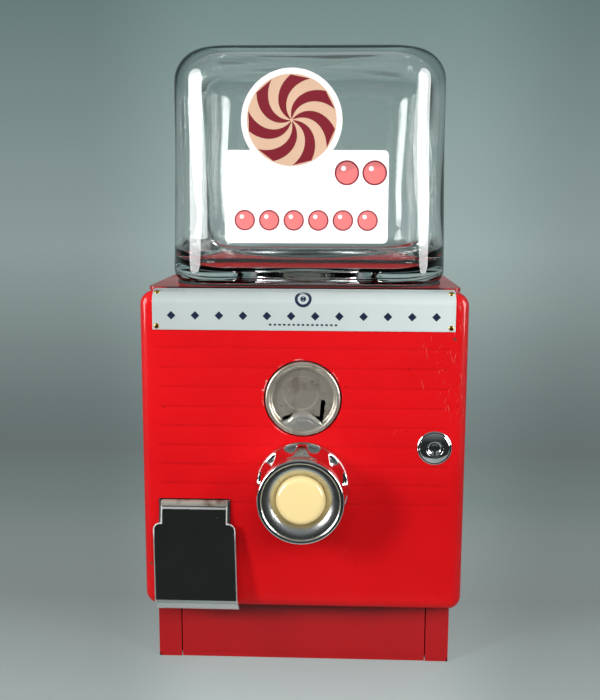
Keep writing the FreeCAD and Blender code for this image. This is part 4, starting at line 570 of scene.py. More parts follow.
# The painted highlights, the sheen and the dull roll lose some metal, so their pale colour shows.
worn = roll_rust_and_reflection * 0.55
for other in (bend_highlight * 0.5, lip_wear_and_sheen * 0.4, line * 0.8):
    worn = calc("MAXIMUM", worn, other)
feed(shader, "Metallic", 1.0 - worn)

shader, at, _ = opened(knob_chrome)
x, _, z = parts(at)
satin = fade(hypot(x, z - KNOB_Z * MM), 0.0256, 0.0234, 0.03, 0.2)
feed(shader, "Roughness", fed(shader, "Roughness") + satin)
print("plating wear and painted light", flap_chrome.name, knob_chrome.name)

# %% Plate lacquer, plastics, rubber and print
def moulded(name, levels, rough, speck=0.04, ink=(90, 84, 76), **surface):
    """A painted or moulded surface with an uneven tone, small specks and faint scratches."""
    material, shader, at = new_material(name, tone(*levels), **surface)
    dots = aged(specks, at, Scale=260.0, Size=0.2, Share=speck)
    marks = aged(scratches, at, Scale=1000.0, Length=24.0, Lean=0.8, Cover=0.34)
    look = shaded(tone(*levels), aged(patches, at, Scale=22.0, Low=0.94, High=1.03))
    feed(shader, "Base Color", blend(dots * 0.6, look, tone(*ink)))
    rough = aged(patches, at, Scale=50.0, Low=rough, High=rough + 0.1) + marks * 0.12
    feed(shader, "Roughness", rough)
    bump(shader, -(marks + dots), 0.1, 0.0001)
    return material


plate_paint = moulded("nameplate_lacquer", (216, 228, 226), 0.28, 0.03, Coat_Weight=0.2, Coat_Roughness=0.14)
shader, at, _ = opened(plate_paint)
x, _, z = parts(at)
# Painted light: the plate is darker on the left, lighter on the right, and darker at the top where it curves
# away over the roll.
painted_plate_light = fade(x, -0.10, 0.10, 0.82, 1.08) * fade(z, 0.238, 0.247, 1.0, 0.8)
feed(shader, "Base Color", shaded(fed(shader, "Base Color"), painted_plate_light))
navy_print = moulded("navy_print", (24, 40, 68), 0.4)
# Painted glow: the label's paper gets a faint emission, so it looks brighter than the lamps make it.
paper_glow = {"Emission_Color": tone(255, 255, 255), "Emission_Strength": 0.12}
label_white = moulded("label_white", (250, 250, 250), 0.42, 0.02, **paper_glow)
print_red = moulded("print_red", (134, 30, 46), 0.4)
print_pink = moulded("print_pink", (228, 128, 128), 0.42)
print_peach = moulded("print_peach", (238, 198, 168), 0.42)
# Painted glow: the cream insert gets a faint warm emission.
cream_glow = {"Emission_Color": tone(255, 222, 146), "Emission_Strength": 0.2}
cream_coat = {"Coat_Weight": 1.0, "Coat_Roughness": 0.05, "Coat_IOR": 1.8}
cream = moulded("cream_plastic", (255, 232, 168), 0.3, 0.02, (120, 96, 50), **cream_coat, **cream_glow)
white_plastic = moulded("wheel_plastic", (224, 220, 208), 0.35)
hair = moulded("bristle", (58, 50, 44), 0.6)
rubber = moulded("black_rubber", (30, 30, 31), 0.7)
print("other finishes", [m.name for m in (plate_paint, navy_print, label_white, cream, rubber)])

# %% [markdown]
# Glass is the one finish whose shader does nearly all the work. Light Path lets the lamps
# shine through it as through air, because exact shadows through thick glass would come out as
# black; everything the eye sees is still bent by the real thickness of the walls.

# %% Clear glass
surface = {"Roughness": 0.0, "IOR": 1.5, "Transmission_Weight": 1.0}
glass, shader, at = new_material("clear_glass", (0.99, 0.998, 0.994, 1.0), **surface)
haze = aged(specks, at, Scale=180.0, Size=0.16, Share=0.05)
feed(shader, "Roughness", aged(patches, at, Scale=18.0, Low=0.0, High=0.02) + haze * 0.3)
in_shadow = get(at.tree, "ShaderNodeLightPath", (), "Is Shadow Ray")
through = get(at.tree, "ShaderNodeBsdfTransparent", [(0.93, 0.95, 0.94, 1.0)])
lit = get(at.tree, "ShaderNodeMixShader", [in_shadow, Flow(at.tree, shader.outputs[0]), through])
feed(at.tree.nodes["Material Output"], "Surface", lit)
print("glass", glass.name)

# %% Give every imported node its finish
finishes = {
    "red_enamel": body_red,
    "zinc_steel": zinc,
    "cash_tin": tin,
    "worn_nickel": nickel,
    "chrome_trim": chrome,
    "brass_parts": brass,
    "gear_metal": gear,
    "nameplate_metal": plate_paint,
    "cream_plastic": cream,
    "wheel_plastic": white_plastic,
    "bristle": hair,
    "clear_glass": glass,
    "black_rubber": rubber,
}
for name, node in nodes.items():
    slot_name = node.material_slots[0].material.name
    is_base = name.startswith("base_") and slot_name == "red_enamel"
    node.material_slots[0].material = base_red if is_base else finishes[slot_name]
nodes["top_plate"].material_slots[0].material = top_red
print("finishes given to", len(nodes), "nodes")

# %% [markdown]
# ## The front door
#
# The door is one pan of sheet steel: a flat face with nine pressed lines, a rolled edge and
# a wall all round. A flat box with a rounded bevel would miss the pressed lines, and a
# drawn pattern of lines would not catch the light, so the face is a grid whose rows lie
# close together round every line, and the rolled edge is a set of rings that share the
# grid's outer points. The inner side is the same form moved in by the sheet's thickness.

# %% Rows and columns of the door's face
HALF, LOW_Z, HIGH_Z = 102.0, 40.7, 245.6
CORNER, ROLL, SHEET = 8.5, 7.5, 1.2
REAR_Y, ROLL_Y = -92.5, -94.5
LINE_REACH = [-3.4, -2.0, -1.0, -0.4, 0.0, 0.5, 1.0, 1.6]
LINE_DEPTH = [0.0, 0.03, 0.09, 0.15, 0.17, 0.11, 0.03, 0.0]
LINE_END, LINE_FADE = 92.6, 3.5

groove_lines = [GROOVE_TOP - n * GROOVE_PITCH for n in range(GROOVE_COUNT)]
rows = {LOW_Z + CORNER, HIGH_Z - CORNER} | {round(z + r, 3) for z in groove_lines for r in LINE_REACH}
rows |= {round(z, 3) for z in np.linspace(54.0, 106.0, 7)} | {219.0, 225.0, 231.0}
rows = sorted(rows)
columns = {-93.5, 93.5, -LINE_END, LINE_END, -90.5, 90.5}
columns = sorted(columns | {round(x, 3) for x in np.linspace(-88, 88, 23)})


def line_depth(x, z):
    """How deep the pressed lines lie at one point of the face."""
    nearest = min(groove_lines, key=lambda line: abs(z - line))
    end = max(0.0, min(1.0, (LINE_END - abs(x)) / LINE_FADE))
    return float(np.interp(z - nearest, LINE_REACH, LINE_DEPTH)) * end


print("door face", len(rows), "rows", len(columns), "columns")

# %% The door's rings and grid
ARC_STEPS = 6


def outline(inset):
    """The door's outline moved in by inset, with a point at every row and column."""
    low, high, side = LOW_Z + CORNER, HIGH_Z - CORNER, HALF - CORNER
    radius = CORNER - inset
    spots = []
    runs = (
        ([(x, low - radius) for x in columns], (side, low), -90),
        ([(side + radius, z) for z in rows], (side, high), 0),
        ([(x, high + radius) for x in reversed(columns)], (-side, high), 90),
        ([(-side - radius, z) for z in reversed(rows)], (-side, low), 180),
    )
    for run, centre, start in runs:
        spots += run + arc(*centre, radius, start, start + 90, ARC_STEPS + 1)[1:-1]
    return spots


def grid_faces(high, wide, first=0):
    """Faces between the points of a grid with high rows of wide points."""
    corners = [first + row * wide + n for row in range(high - 1) for n in range(wide - 1)]
    return [(a, a + 1, a + wide + 1, a + wide) for a in corners]


def pan_side(offset):
    """Points and faces of one side of the pan: rings from the rear edge in, then the face."""
    rings = [(offset, REAR_Y), (offset, ROLL_Y)]
    rings += arc(ROLL, ROLL_Y, ROLL - offset, 190, 270, 9)
    rings.append((CORNER, FACE_Y + offset))
    points = [(x, y, z) for inset, y in rings for x, z in outline(inset)]
    count = len(points) // len(rings)
    faces = join_rings(count, len(rings)) + grid_faces(len(rows), len(columns), len(points))
    points += [(x, FACE_Y + offset + line_depth(x, z), z) for z in rows for x in columns]
    return points, faces, count


outer_points, outer_faces, count = pan_side(0.0)
inner_points, inner_faces, _ = pan_side(SHEET)
shift = len(outer_points)
pan_faces = outer_faces + [tuple(i + shift for i in face) for face in inner_faces]
pan_faces += [(n, (n + 1) % count, shift + (n + 1) % count, shift + n) for n in range(count)]
door = make_piece("door_pan", outer_points + inner_points, pan_faces)
print("door pan", len(door.data.vertices), "points")

# %% Cut the holes of the door
BOX_FACES = ((0, 1, 3, 2), (4, 6, 7, 5), (0, 4, 5, 1), (2, 3, 7, 6), (0, 2, 6, 4), (1, 5, 7, 3))


def cutter(radius, x, z, steps=128):
    """A round bar that cuts a hole through the door's face."""
    bar = [(0, -6), (radius, -6), (radius, 6), (0, 6)]
    return lathe("cutter", bar, (x, FACE_Y, z), steps, closed=False)


def boxes(name, *spans):
    """Plain boxes, each between a low and a high corner, as one piece."""
    points, faces = [], []
    for (x0, y0, z0), (x1, y1, z1) in spans:
        faces += [tuple(i + len(points) for i in face) for face in BOX_FACES]
        points += [(x, y, z) for x in (x0, x1) for y in (y0, y1) for z in (z0, z1)]
    return make_piece(name, points, faces)


cutout = boxes("cutter", ((-91.4, -108.0, 50.5), (-45.8, -96.0, 113.9)))
carve(door, cutter(24.3, 0, COIN_Z), cutter(10.0, 0, KNOB_Z, 64), cutter(9.5, LOCK_X, LOCK_Z, 64), cutout)
smooth(door, 38)
finish_with(door, door_red, "front_door", "red_enamel", "front_door")

# %% [markdown]
# ## The fluted knob
#
# The knob's grip follows a rule: twelve equal hollows, each as if milled by a round-nosed
# cutter. Its skin is turned on the lathe with closely spaced rings, and a geometry node
# tree pushes each point in where the cutter would have passed. The tree has the
# cutter's sizes as named inputs, so another count or depth is one number away.

# %% Trees that build forms
def new_builder(name, **inputs):
    """A geometry tree; its first input is the geometry and its last one the finish."""
    return new_tree("Geometry", name, "Geometry", Geometry="Geometry", **inputs, Finish="Material")


def end_builder(geometry, finish):
    """Every builder ends as real faces with a finish, because instances are lost in an export."""
    real = get(geometry.tree, "GeometryNodeRealizeInstances", [geometry])
    dressed = {"Geometry": real, "Material": finish}
    return end_tree(get(geometry.tree, "GeometryNodeSetMaterial", dressed))


def moved_to(geometry, place):
    """Sets every point of the geometry to its new place."""
    inputs = {"Geometry": geometry, "Position": place}
    return get(geometry.tree, "GeometryNodeSetPosition", inputs)


def copied(points, form, **more):
    """Sets a copy of the form on every point."""
    return get(points.tree, "GeometryNodeInstanceOnPoints", {"Points": points, "Instance": form, **more})


def grow(piece, tree, **values):
    """Runs a builder on the piece with these inputs and keeps the plain mesh."""
    modifier = piece.modifiers.new(tree.name, "NODES")
    modifier.node_group = tree
    for item in tree.interface.items_tree:
        label = item.name.replace(" ", "_")
        if item.item_type == "SOCKET" and item.in_out == "INPUT" and label in values:
            modifier[item.identifier] = values[label]
    return settle(piece)


# %% The cutter's tree
mesh, count, cutter_radius, distance, start, stop, softness, centre, finish = new_builder(
    "fluted grip", Flutes=12, Cutter_Radius=0.0075, Cutter_Distance=0.0338, Start=0.005, Stop=0.0205,
    Softness=0.0004, Centre=ORIGIN,
)
tree = mesh.tree
at = get(tree, "GeometryNodeInputPosition")
x, y, z = parts(get(tree, "ShaderNodeVectorMath", [at, centre], operation="SUBTRACT"))
radius, share = hypot(x, z), math.pi / count
turned = calc("WRAP", calc("ARCTAN2", x, z) + share, share, -share)
across, along = radius * calc("SINE", turned), radius * calc("COSINE", turned)
spread = cutter_radius * cutter_radius
for gap in (across, above(-y, stop), above(start, -y) * 8.0):
    spread = spread - gap * gap
cut = distance - calc("SQRT", calc("MAXIMUM", spread, 0.0))
scale = calc("SMOOTH_MIN", along, cut, softness) / calc("MAXIMUM", along, 0.0001)
place = [vector(x * scale, y, z * scale), centre]
place = get(tree, "ShaderNodeVectorMath", place, operation="ADD")
flutes = end_builder(moved_to(mesh, place), finish)

# %% Turn the knob and cut its flutes
grip = [(28.6 - 2.4 * (h - 4.2) / 19.6, h) for h in np.linspace(4.2, 23.8, 56)]
dish_r = [15.35, 15.8, 17, 18, 19, 20, 21, 22, 23, 23.4]
dish_h = [26.4, 26.8, 28.1, 29.0, 29.8, 30.45, 30.9, 31.2, 31.4, 31.45]
dish = [(r, float(np.interp(r, dish_r, dish_h))) for r in np.linspace(23.4, 15.35, 30)]
bead = arc(24.9, 31.5, 1.5, -35, 175, 22)
skirt = [(28.6, 0.8), (29.1, 0.95), (29.5, 1.5), (29.6, 2.3), (29.4, 3.1), (28.9, 3.7)]
neck = [(26.0, 24.6), (25.5, 25.3), (25.2, 26.2), (25.15, 27.2), (25.3, 28.4), (25.7, 29.4)]
inside = [(15.3, 26.2), (4.05, 26.2), (4.05, 0.8), (8.0, 0.8), (8.0, 22.2), (20.2, 22.2), (23.4, 0.8)]
knob = lathe("knob_grip", skirt + grip + neck + bead + dish + inside, (0, FACE_Y, KNOB_Z), 360)
grow(knob, flutes, Centre=(0.0, FACE_Y * MM, KNOB_Z * MM), Finish=knob_chrome)
smooth(knob, 60)
finish_with(knob, knob_chrome, "knob", "chrome_trim", "knob")

# %% The cream insert
button = [(0, 26.5), (15.2, 26.5)] + arc(11.2, 27.35, 4.0, 0, 90, 14) + [(8.0, 31.5), (4.0, 31.58), (0, 31.6)]
insert = smooth(lathe("knob_button", button, (0, FACE_Y, KNOB_Z), 128, closed=False), 50)
finish_with(insert, cream, "knob", "cream_plastic", "knob_insert")

# %% [markdown]
# ## The coin dish
#
# A buyer lays a coin in a shallow round seat and the dish's lip lets it slide behind the
# door. The dish is pressed from one sheet: a rolled rim, a sloping floor and the seat, which
# sits off centre. Rings that start round the seat and end round the rim keep both edges crisp.

# %% The dish
SEAT = Vector((-1.5, 3.0))
SEAT_R, SEAT_EDGE_R, FLOOR_R = 10.7, 11.1, 19.2


def dish_rings():
    """(centre offset, radius, height) of each ring, from the middle of the seat to the rim."""
    rings = [(SEAT, r, -3.45 + 0.0012 * r * r) for r in (0, 2, 4, 6, 8, 9.6, 10.3)]
    rings += [(SEAT, SEAT_R, -3.12), (SEAT, SEAT_EDGE_R, -2.95)]
    for share in np.linspace(0.1, 1.0, 12):
        radius = SEAT_EDGE_R + (FLOOR_R - SEAT_EDGE_R) * share
        rings.append((SEAT * (1 - share), radius, -2.95 + 0.55 * share**2))
    rim = [(19.7, -1.9), (20.0, -1.0), (20.15, 0.0), (20.45, 0.8), (20.95, 1.35), (21.6, 1.66), (22.2, 1.68),
           (22.8, 1.4), (23.2, 0.9), (23.4, 0.2), (23.4, -6.4), (22.4, -6.4), (22.4, -3.4), (19.0, -3.5)]
    return rings + [((0, 0), r, h) for r, h in rim] + [(SEAT, 9.0, -4.4), (SEAT, 0, -4.5)]


def ring_piece(name, rings, centre, steps=128):
    """Joins rings that may each have their own centre."""
    points = []
    for offset, radius, height in rings:
        for step in range(steps):
            angle = 2 * math.pi * step / steps
            x, z = offset[0] + radius * math.sin(angle), offset[1] + radius * math.cos(angle)
            dent = 0.12 * noise.noise(Vector((x * 0.11, z * 0.11, 3.0))) if radius < 19 else 0.0
            points.append((centre[0] + x, centre[1] - height - dent, centre[2] + z))
    return make_piece(name, points, join_rings(steps, len(rings)))


coin_dish = ring_piece("coin_dish", dish_rings(), (0, FACE_Y, COIN_Z))
print("coin dish", len(coin_dish.data.vertices), "points")

# %% The openings beside the lip
def slab(name, corners, near, far, up=0.0):
    """A closed form with an outline of (x, z) corners, from y near to y far."""
    count = len(corners)
    points = [(x, y, up + z) for y in (near, far) for x, z in corners]
    faces = [tuple(range(count)), tuple(range(2 * count - 1, count - 1, -1))]
    return make_piece(name, points, faces + join_rings(count, 2))


left_gap = [(-13.4, -14.8), (-12.8, -12.2), (-11.6, -11.6), (-9.0, -10.9), (-6.4, -9.6), (-8.0, -13.0)]
right_gap = [(5.2, -9.8), (8.0, -11.2), (10.4, -11.7), (11.0, -5.0), (11.3, -1.3), (13.4, -1.0), (14.4, -3.6),
             (13.6, -4.6), (13.3, -9.5), (12.6, -14.6), (11.6, -15.2), (8.0, -14.4)]
carve(coin_dish, *[slab("cutter", gap, FACE_Y - 4, FACE_Y + 5.6, COIN_Z) for gap in (left_gap, right_gap)])
smooth(coin_dish, 40)
finish_with(coin_dish, nickel, "front_door", "worn_nickel", "coin_entry_plate")

# %% The lip with its thumb hump
EDGE_X = [-13.1, -11.0, -8.8, -6.2, -3.0, 0.5, 3.2, 5.2, 8.0, 10.3, 11.9]
EDGE_Z = [-15.3, -14.3, -12.9, -10.4, -8.9, -8.4, -8.8, -9.9, -12.0, -13.8, -15.3]
FALL = [0.0, 0.5, 1.1, 1.9, 2.9, 3.9, 4.7, 5.4, 6.6, 9.0, 12.0]
PROUD = [-2.6, -1.6, -0.7, 0.2, 0.8, 0.75, 0.3, -0.15, -0.2, 0.1, 0.5]
LIP_R, LIP_THICK = 20.25, 0.8


def shell(name, front, back):
    """A closed sheet from two grids of points with the same rows and columns."""
    high, wide = len(front), len(front[0])
    points = [p for row in front for p in row] + [p for row in back for p in row]
    shift = high * wide
    faces = []
    for quad in grid_faces(high, wide):
        faces += [quad, tuple(i + shift for i in reversed(quad))]
    border = list(range(wide)) + [row * wide + wide - 1 for row in range(1, high)]
    border += [(high - 1) * wide + column for column in range(wide - 2, -1, -1)]
    border += [row * wide for row in range(high - 2, 0, -1)]
    faces += [(a, b, b + shift, a + shift) for a, b in zip(border, border[1:] + border[:1])]
    return make_piece(name, points, faces)


front, back = [], []
for share in np.linspace(0, 1, 26):
    line = []
    for x in np.linspace(EDGE_X[0], EDGE_X[-1], 61):
        top = float(np.interp(x, EDGE_X, EDGE_Z))
        low = -math.sqrt(LIP_R**2 - x * x)
        z = top + (min(low, top - 0.05) - top) * share
        swell = math.exp(-(((x - 0.3) / 7.5) ** 2))
        proud = float(np.interp(top - z, FALL, PROUD))
        line.append((x, FACE_Y - proud * (0.45 + 0.55 * swell) - 0.1, COIN_Z + z))
    front.append(line)
    back.append([(x, y + LIP_THICK, z) for x, y, z in line])
lip = smooth(shell("coin_lip_hump", front, back), 55)
relax = lip.modifiers.new("relax", "SMOOTH")
relax.factor, relax.iterations = 0.5, 2
smooth(settle(lip), 55)
finish_with(lip, nickel_rim, "front_door", "worn_nickel", "coin_lip")

# %% [markdown]
# ## The lock
#
# The lock is a chromed dome inside a rolled ring, with a round plug for the key. A dome
# mirrors the whole room, so its curve matters more than its colour: it is a true part
# of a ball of 20.5 millimetres, worked out point by point.

# %% The dome and the plug
BALL_R, DOME_PROUD = 20.5, 3.2
LOCK_AT = (LOCK_X, FACE_Y, LOCK_Z)


def dome(radius):
    """The dome's height over the door at a radius."""
    return DOME_PROUD - (BALL_R - math.sqrt(BALL_R**2 - radius**2))


face = [(5.0, -4), (5.0, 2.1), (5.1, 2.35), (5.35, dome(5.35))]
face += [(radius, dome(radius)) for radius in np.linspace(5.8, 9.1, 12)]
ring = [(9.25, 0.95), (9.4, 0.85), (9.6, 0.95), (9.9, 1.0), (10.3, 0.85), (10.7, 0.45)]
ring += [(10.95, 0.0), (11.0, -0.1), (9.4, -0.1), (9.4, -4)]
lock_face = lathe("lock_dome", face + ring, LOCK_AT, 128)
finish_with(smooth(lock_face, 50), chrome, "front_door", "chrome_trim", "lock_cylinder")
barrel = lathe("lock_barrel", [(5.0, -17), (9.4, -17), (9.4, -0.2), (5.0, -0.2)], LOCK_AT, 64)
finish_with(smooth(barrel), brass, "front_door", "brass_parts")

key_face = [(0, 1.9), (1.4, 1.85), (2.3, 1.6), (2.9, 1.15), (3.3, 1.1), (3.9, 1.6), (4.5, 1.95), (4.75, 1.9)]
plug = lathe("lock_key_plug", key_face + [(4.8, 1.6), (4.8, -19.1), (0, -19.1)], LOCK_AT, 96, closed=False)
carve(plug, boxes("cutter", ((LOCK_X - 0.7, -110, LOCK_Z - 4.4), (LOCK_X + 0.7, -96, LOCK_Z + 2.2))))
finish_with(smooth(plug, 40), chrome, "lock_plug", "brass_parts", "lock_plug")

# %% [markdown]
# ## The flap
#
# The flap is one strip of chromed steel: rolled round its pin at the top, then a flat
# face that leans out, then a short lip that turns back to the door. The face is narrow at
# the roll and wide below two round shoulders. It is drawn as a path seen from the side, and
# a width for each point of the path; a bevel gives the cut edges the thin bright line that
# real sheet has.

# %% The flap's path and widths
PIN = Vector((-101.5, 110.0))
FLAP_ROLL, FLAP_THICK = 3.0, 1.1
LEAN = math.radians(10)
NECK, WIDE, SHOULDER, NECK_END = 21.2, 26.2, 4.4, 11.8
KNEE_REACH, KNEE_STEP = 60.4, 0.35


def falling(angle):
    """The direction that leans out from straight down by an angle."""
    return Vector((-math.sin(angle), -math.cos(angle)))


path = []
for degrees in range(216, -1, -12):
    angle = math.radians(degrees)
    path.append((PIN + FLAP_ROLL * Vector((-math.cos(angle + LEAN), math.sin(angle + LEAN))), NECK))
start = path[-1][0]
reaches = [2.5, 5, 8, 10, 11.5]
reaches += [NECK_END + SHOULDER * (1 - math.cos(a)) for a in np.radians(range(0, 91, 10))]
reaches += [22, 28, 34, 40, 46, 52, 56, 59.4]
for reach in reaches:
    into = min(max(reach - NECK_END, 0.0), SHOULDER)
    width = NECK if reach < NECK_END else WIDE - SHOULDER + math.sqrt(SHOULDER**2 - (SHOULDER - into) ** 2)
    path.append((start + falling(LEAN) * reach, width))
knee = start + falling(LEAN) * KNEE_REACH
for degrees in (13, 26, 39, 52):
    back = falling(LEAN - math.radians(degrees))
    knee = knee + KNEE_STEP * back
    path.append((knee, WIDE))
path += [(knee + back * reach, WIDE) for reach in (2.6, 5.2, 7.8, 10.2)]
print("flap path", len(path), "points")

# %% The flap as a sheet
def strip(name, path, centre_x, thick, inner, sides=5, middle=13):
    """A closed sheet along a path of ((y, z), half width); thickness goes to the rear."""
    spots = [p for p, _ in path]
    front, back = [], []
    for n, (spot, half) in enumerate(path):
        ahead = spots[min(n + 1, len(spots) - 1)] - spots[max(n - 1, 0)]
        inward = Vector((-ahead.y, ahead.x)).normalized() * thick
        across = list(np.linspace(-half, -inner, sides)) + list(np.linspace(-inner, inner, middle))[1:-1]
        across += list(np.linspace(inner, half, sides))
        front.append([(centre_x + x, spot.x, spot.y) for x in across])
        back.append([(centre_x + x, spot.x + inward.x, spot.y + inward.y) for x in across])
    return shell(name, front, back)


flap = strip("flap_plate", path, FLAP_X, FLAP_THICK, NECK)
soften(flap, 0.42, 3, 50)
for point in flap.data.vertices:
    point.co.x += max(FLAP_TURN_Z * MM - point.co.z, 0.0) * FLAP_SHEAR
finish_with(smooth(flap, 40), flap_chrome, "flap", "chrome_trim", "flap")

# %% [markdown]
# ## The plate over the door's top edge
#
# A strip of lacquered metal is bent over the door's rolled top edge and held by four
# small round-head screws. It carries a plain row of marks in navy print. The marks are laid
# out flat by a geometry node tree, a line of copies plus a few single ones, and
# then bent over the roll by the same arithmetic that bends the plate.

# %% The bent plate
PLATE_HALF, PLATE_THICK = 93.2, 0.7
ROLL_Z, PLATE_R = 238.1, 8.2


def over_roll(degrees):
    """The place on the plate's bend, as (y, z)."""
    angle = math.radians(degrees)
    return ROLL_Y - PLATE_R * math.cos(angle), ROLL_Z + PLATE_R * math.sin(angle)


plate_path = [(FACE_Y - PLATE_THICK, z) for z in (222.1, 223.0, 226.0, 230.0, 234.0, ROLL_Z)]
plate_path += [over_roll(degrees) for degrees in np.linspace(0, 84, 21)[1:]]
plate_path += [(-94.2, 246.5), (-92.9, 247.1)]
plate_path = [(Vector(spot), PLATE_HALF) for spot in reversed(plate_path)]
plate = strip("top_plate_strip", plate_path, 0.0, PLATE_THICK, 90.0, 4, 25)
soften(plate, 0.2, 2, 50)
finish_with(smooth(plate, 40), plate_paint, "front_door", "nameplate_metal", "nameplate")

# %% The marks' tree
mesh, count, spacing, size, line_z, roll_z, roll_y, roll_radius, finish = new_builder(
    "row of marks", Count=12, Spacing=0.0148, Size=0.0027, Line_Height=0.2311, Roll_Height=0.2381,
    Roll_Axis=-0.0945, Roll_Radius=0.00824,
)
tree = mesh.tree
first = vector((count - 1.0) * -0.5 * spacing, 0.0, line_z)
line = {"Count": count, "Start Location": first, "Offset": vector(spacing, 0.0, 0.0)}
line = get(tree, "GeometryNodeMeshLine", line)
diamond = get(tree, "GeometryNodeMeshCircle", {"Vertices": 4, "Radius": size}, fill_type="NGON")
upright = {"Geometry": diamond, "Rotation": (math.pi / 2, 0.0, 0.0)}
upright = get(tree, "GeometryNodeTransform", upright)
laid = put(tree, "GeometryNodeJoinGeometry", [copied(line, upright)])
feed(laid, 0, mesh)
real = get(tree, "GeometryNodeRealizeInstances", [Flow(tree, laid.outputs[0])])
x, _, z = parts(get(tree, "GeometryNodeInputPosition"))
bend = above(z, roll_z) / roll_radius
up_z = calc("MINIMUM", z, roll_z) + calc("SINE", bend) * roll_radius
out_y = roll_y - calc("COSINE", bend) * roll_radius
marks_tree = end_builder(moved_to(real, vector(x, out_y, up_z)), finish)

# %% The single marks and the row
def flat_ring(x, z, outer, inner, steps=48):
    """Points and faces of a flat ring or disc in the plane of the plate."""
    turns = np.linspace(0, 2 * math.pi, steps, endpoint=False)
    points = [(x + r * math.cos(a), 0.0, z + r * math.sin(a)) for a in turns for r in (outer, inner)]
    last = 2 * steps
    return points, [(n, n + 1, (n + 3) % last, (n + 2) % last) for n in range(0, last, 2)]


points, faces = flat_ring(0, 241.8, 5.2, 3.4)
dot_points, dot_faces = flat_ring(0, 241.8, 1.8, 0.0)
faces += [tuple(i + len(points) for i in f) for f in dot_faces]
points += dot_points
for x0 in np.linspace(-21.0, 19.4, 15):
    faces.append(tuple(len(points) + i for i in range(4)))
    points += [(x0, 0, 225.2), (x0 + 1.6, 0, 225.2), (x0 + 1.6, 0, 226.3), (x0, 0, 226.3)]
marks = make_piece("plate_marks", points, faces)
grow(marks, marks_tree, Finish=navy_print)
finish_with(marks, navy_print, "front_door", "nameplate_metal")

# %% [markdown]
# Screws repeat, so a tree sets one screw head on every point of a small mesh. Each point
# carries two values of its own: the direction it faces and how far its slot is turned.

# %% The screws
def own_value(tree, name, kind):
    """A value that each point carries."""
    return get(tree, "GeometryNodeInputNamedAttribute", {"Name": name}, "Attribute", data_type=kind)


def turned_about(axis, angle):
    """A rotation about an axis."""
    return get(angle.tree, "FunctionNodeAxisAngleToRotation", {"Axis": axis, "Angle": angle})


mesh, turn_scale, head, finish = new_builder("screws on points", Turn_Scale=1.0, Head="Object")
tree = mesh.tree
head = get(tree, "GeometryNodeObjectInfo", [head], "Geometry", transform_space="ORIGINAL")
facing = {"Vector": own_value(tree, "facing", "FLOAT_VECTOR")}
aligned = get(tree, "FunctionNodeAlignRotationToVector", facing, axis="Z")
spin = turned_about((0.0, 0.0, 1.0), own_value(tree, "slot_turn", "FLOAT") * turn_scale)
turned = get(tree, "FunctionNodeRotateRotation", [aligned, spin], rotation_space="LOCAL")
screw_tree = end_builder(copied(mesh, head, Rotation=turned), finish)


def screw_head(radius, height, slot):
    """One round screw head at the origin that faces +Z."""
    rise = [(radius * math.cos(a), height * math.sin(a)) for a in np.radians(np.linspace(0, 90, 9))]
    made = lathe("head", [(0, -0.4), (radius, -0.4)] + rise, (0, 0, 0), 28, upright=True, closed=False)
    low, high = (-radius - 1, -slot / 2, height * 0.45), (radius + 1, slot / 2, height + 1)
    return carve(made, boxes("cutter", (low, high)))


def screws_on(name, spots, head, material, body, slot, *replaced):
    """Sets the head on every ((x, y, z), facing, slot turn) of spots."""
    host = make_piece(name, [p for p, _, _ in spots], [])
    facing = host.data.attributes.new("facing", "FLOAT_VECTOR", "POINT")
    facing.data.foreach_set("vector", [v for _, f, _ in spots for v in f])
    turn = host.data.attributes.new("slot_turn", "FLOAT", "POINT")
    turn.data.foreach_set("value", [t for _, _, t in spots])
    grow(host, screw_tree, Head=head, Finish=material)
    bpy.data.objects.remove(head)
    return finish_with(smooth(host, 40), material, body, slot, *replaced)


SCREW_X, UPPER_TURN = 90.5, 58
outward = (0, -math.cos(math.radians(UPPER_TURN)), math.sin(math.radians(UPPER_TURN)))
spots = []
for n, x in enumerate((-SCREW_X, SCREW_X)):
    spots.append(((x, FACE_Y - PLATE_THICK, 224.4), (0, -1, 0), 0.5 + 1.1 * n))
    spots.append(((x, *over_roll(UPPER_TURN)), outward, 1.9 + 0.7 * n))
head = screw_head(1.7, 0.9, 0.45)
screws_on("plate_screws", spots, head, brass, "front_door", "brass_parts", "nameplate_screws")

# %% [markdown]
# ## The glass globe
#
# The globe is pressed glass, square with round corners, and its walls are never quite even.
# That unevenness is what bends the room behind it, so the inner wall gets a gentle
# wave while the outer one stays nearly true. Rings of points follow the profile from the
# neck up the outside, over the top and down the inside.

# %% The globe's rings
SIDE, GLOBE_X, WALL = 87.0, 1.8, 4.5
FLARE, FLARE_TOP, FLARE_FALL = 1.5, 340.0, 80.0
BASE_Z, TOP_Z, GLOBE_CORNER = 248.8, 401.8, 36.0
WAVE_SHIFT = Vector((7, 3, 5))
AROUND = 192
rings = []


def rounded_square(half, corner):
    """Points round a square with round corners, evenly spaced by angle step."""
    flat, spots = half - corner, []
    steps = AROUND // 8
    for quarter in range(4):
        turn = Matrix.Rotation(math.radians(90 * quarter), 2)
        shares = [(n + 0.5) / steps for n in range(steps)]
        spots += [turn @ Vector((half, flat * (2 * share - 1))) for share in shares]
        for angle in [math.radians(90 * share) for share in shares]:
            spots.append(turn @ Vector((flat + corner * math.cos(angle), flat + corner * math.sin(angle))))
    return spots


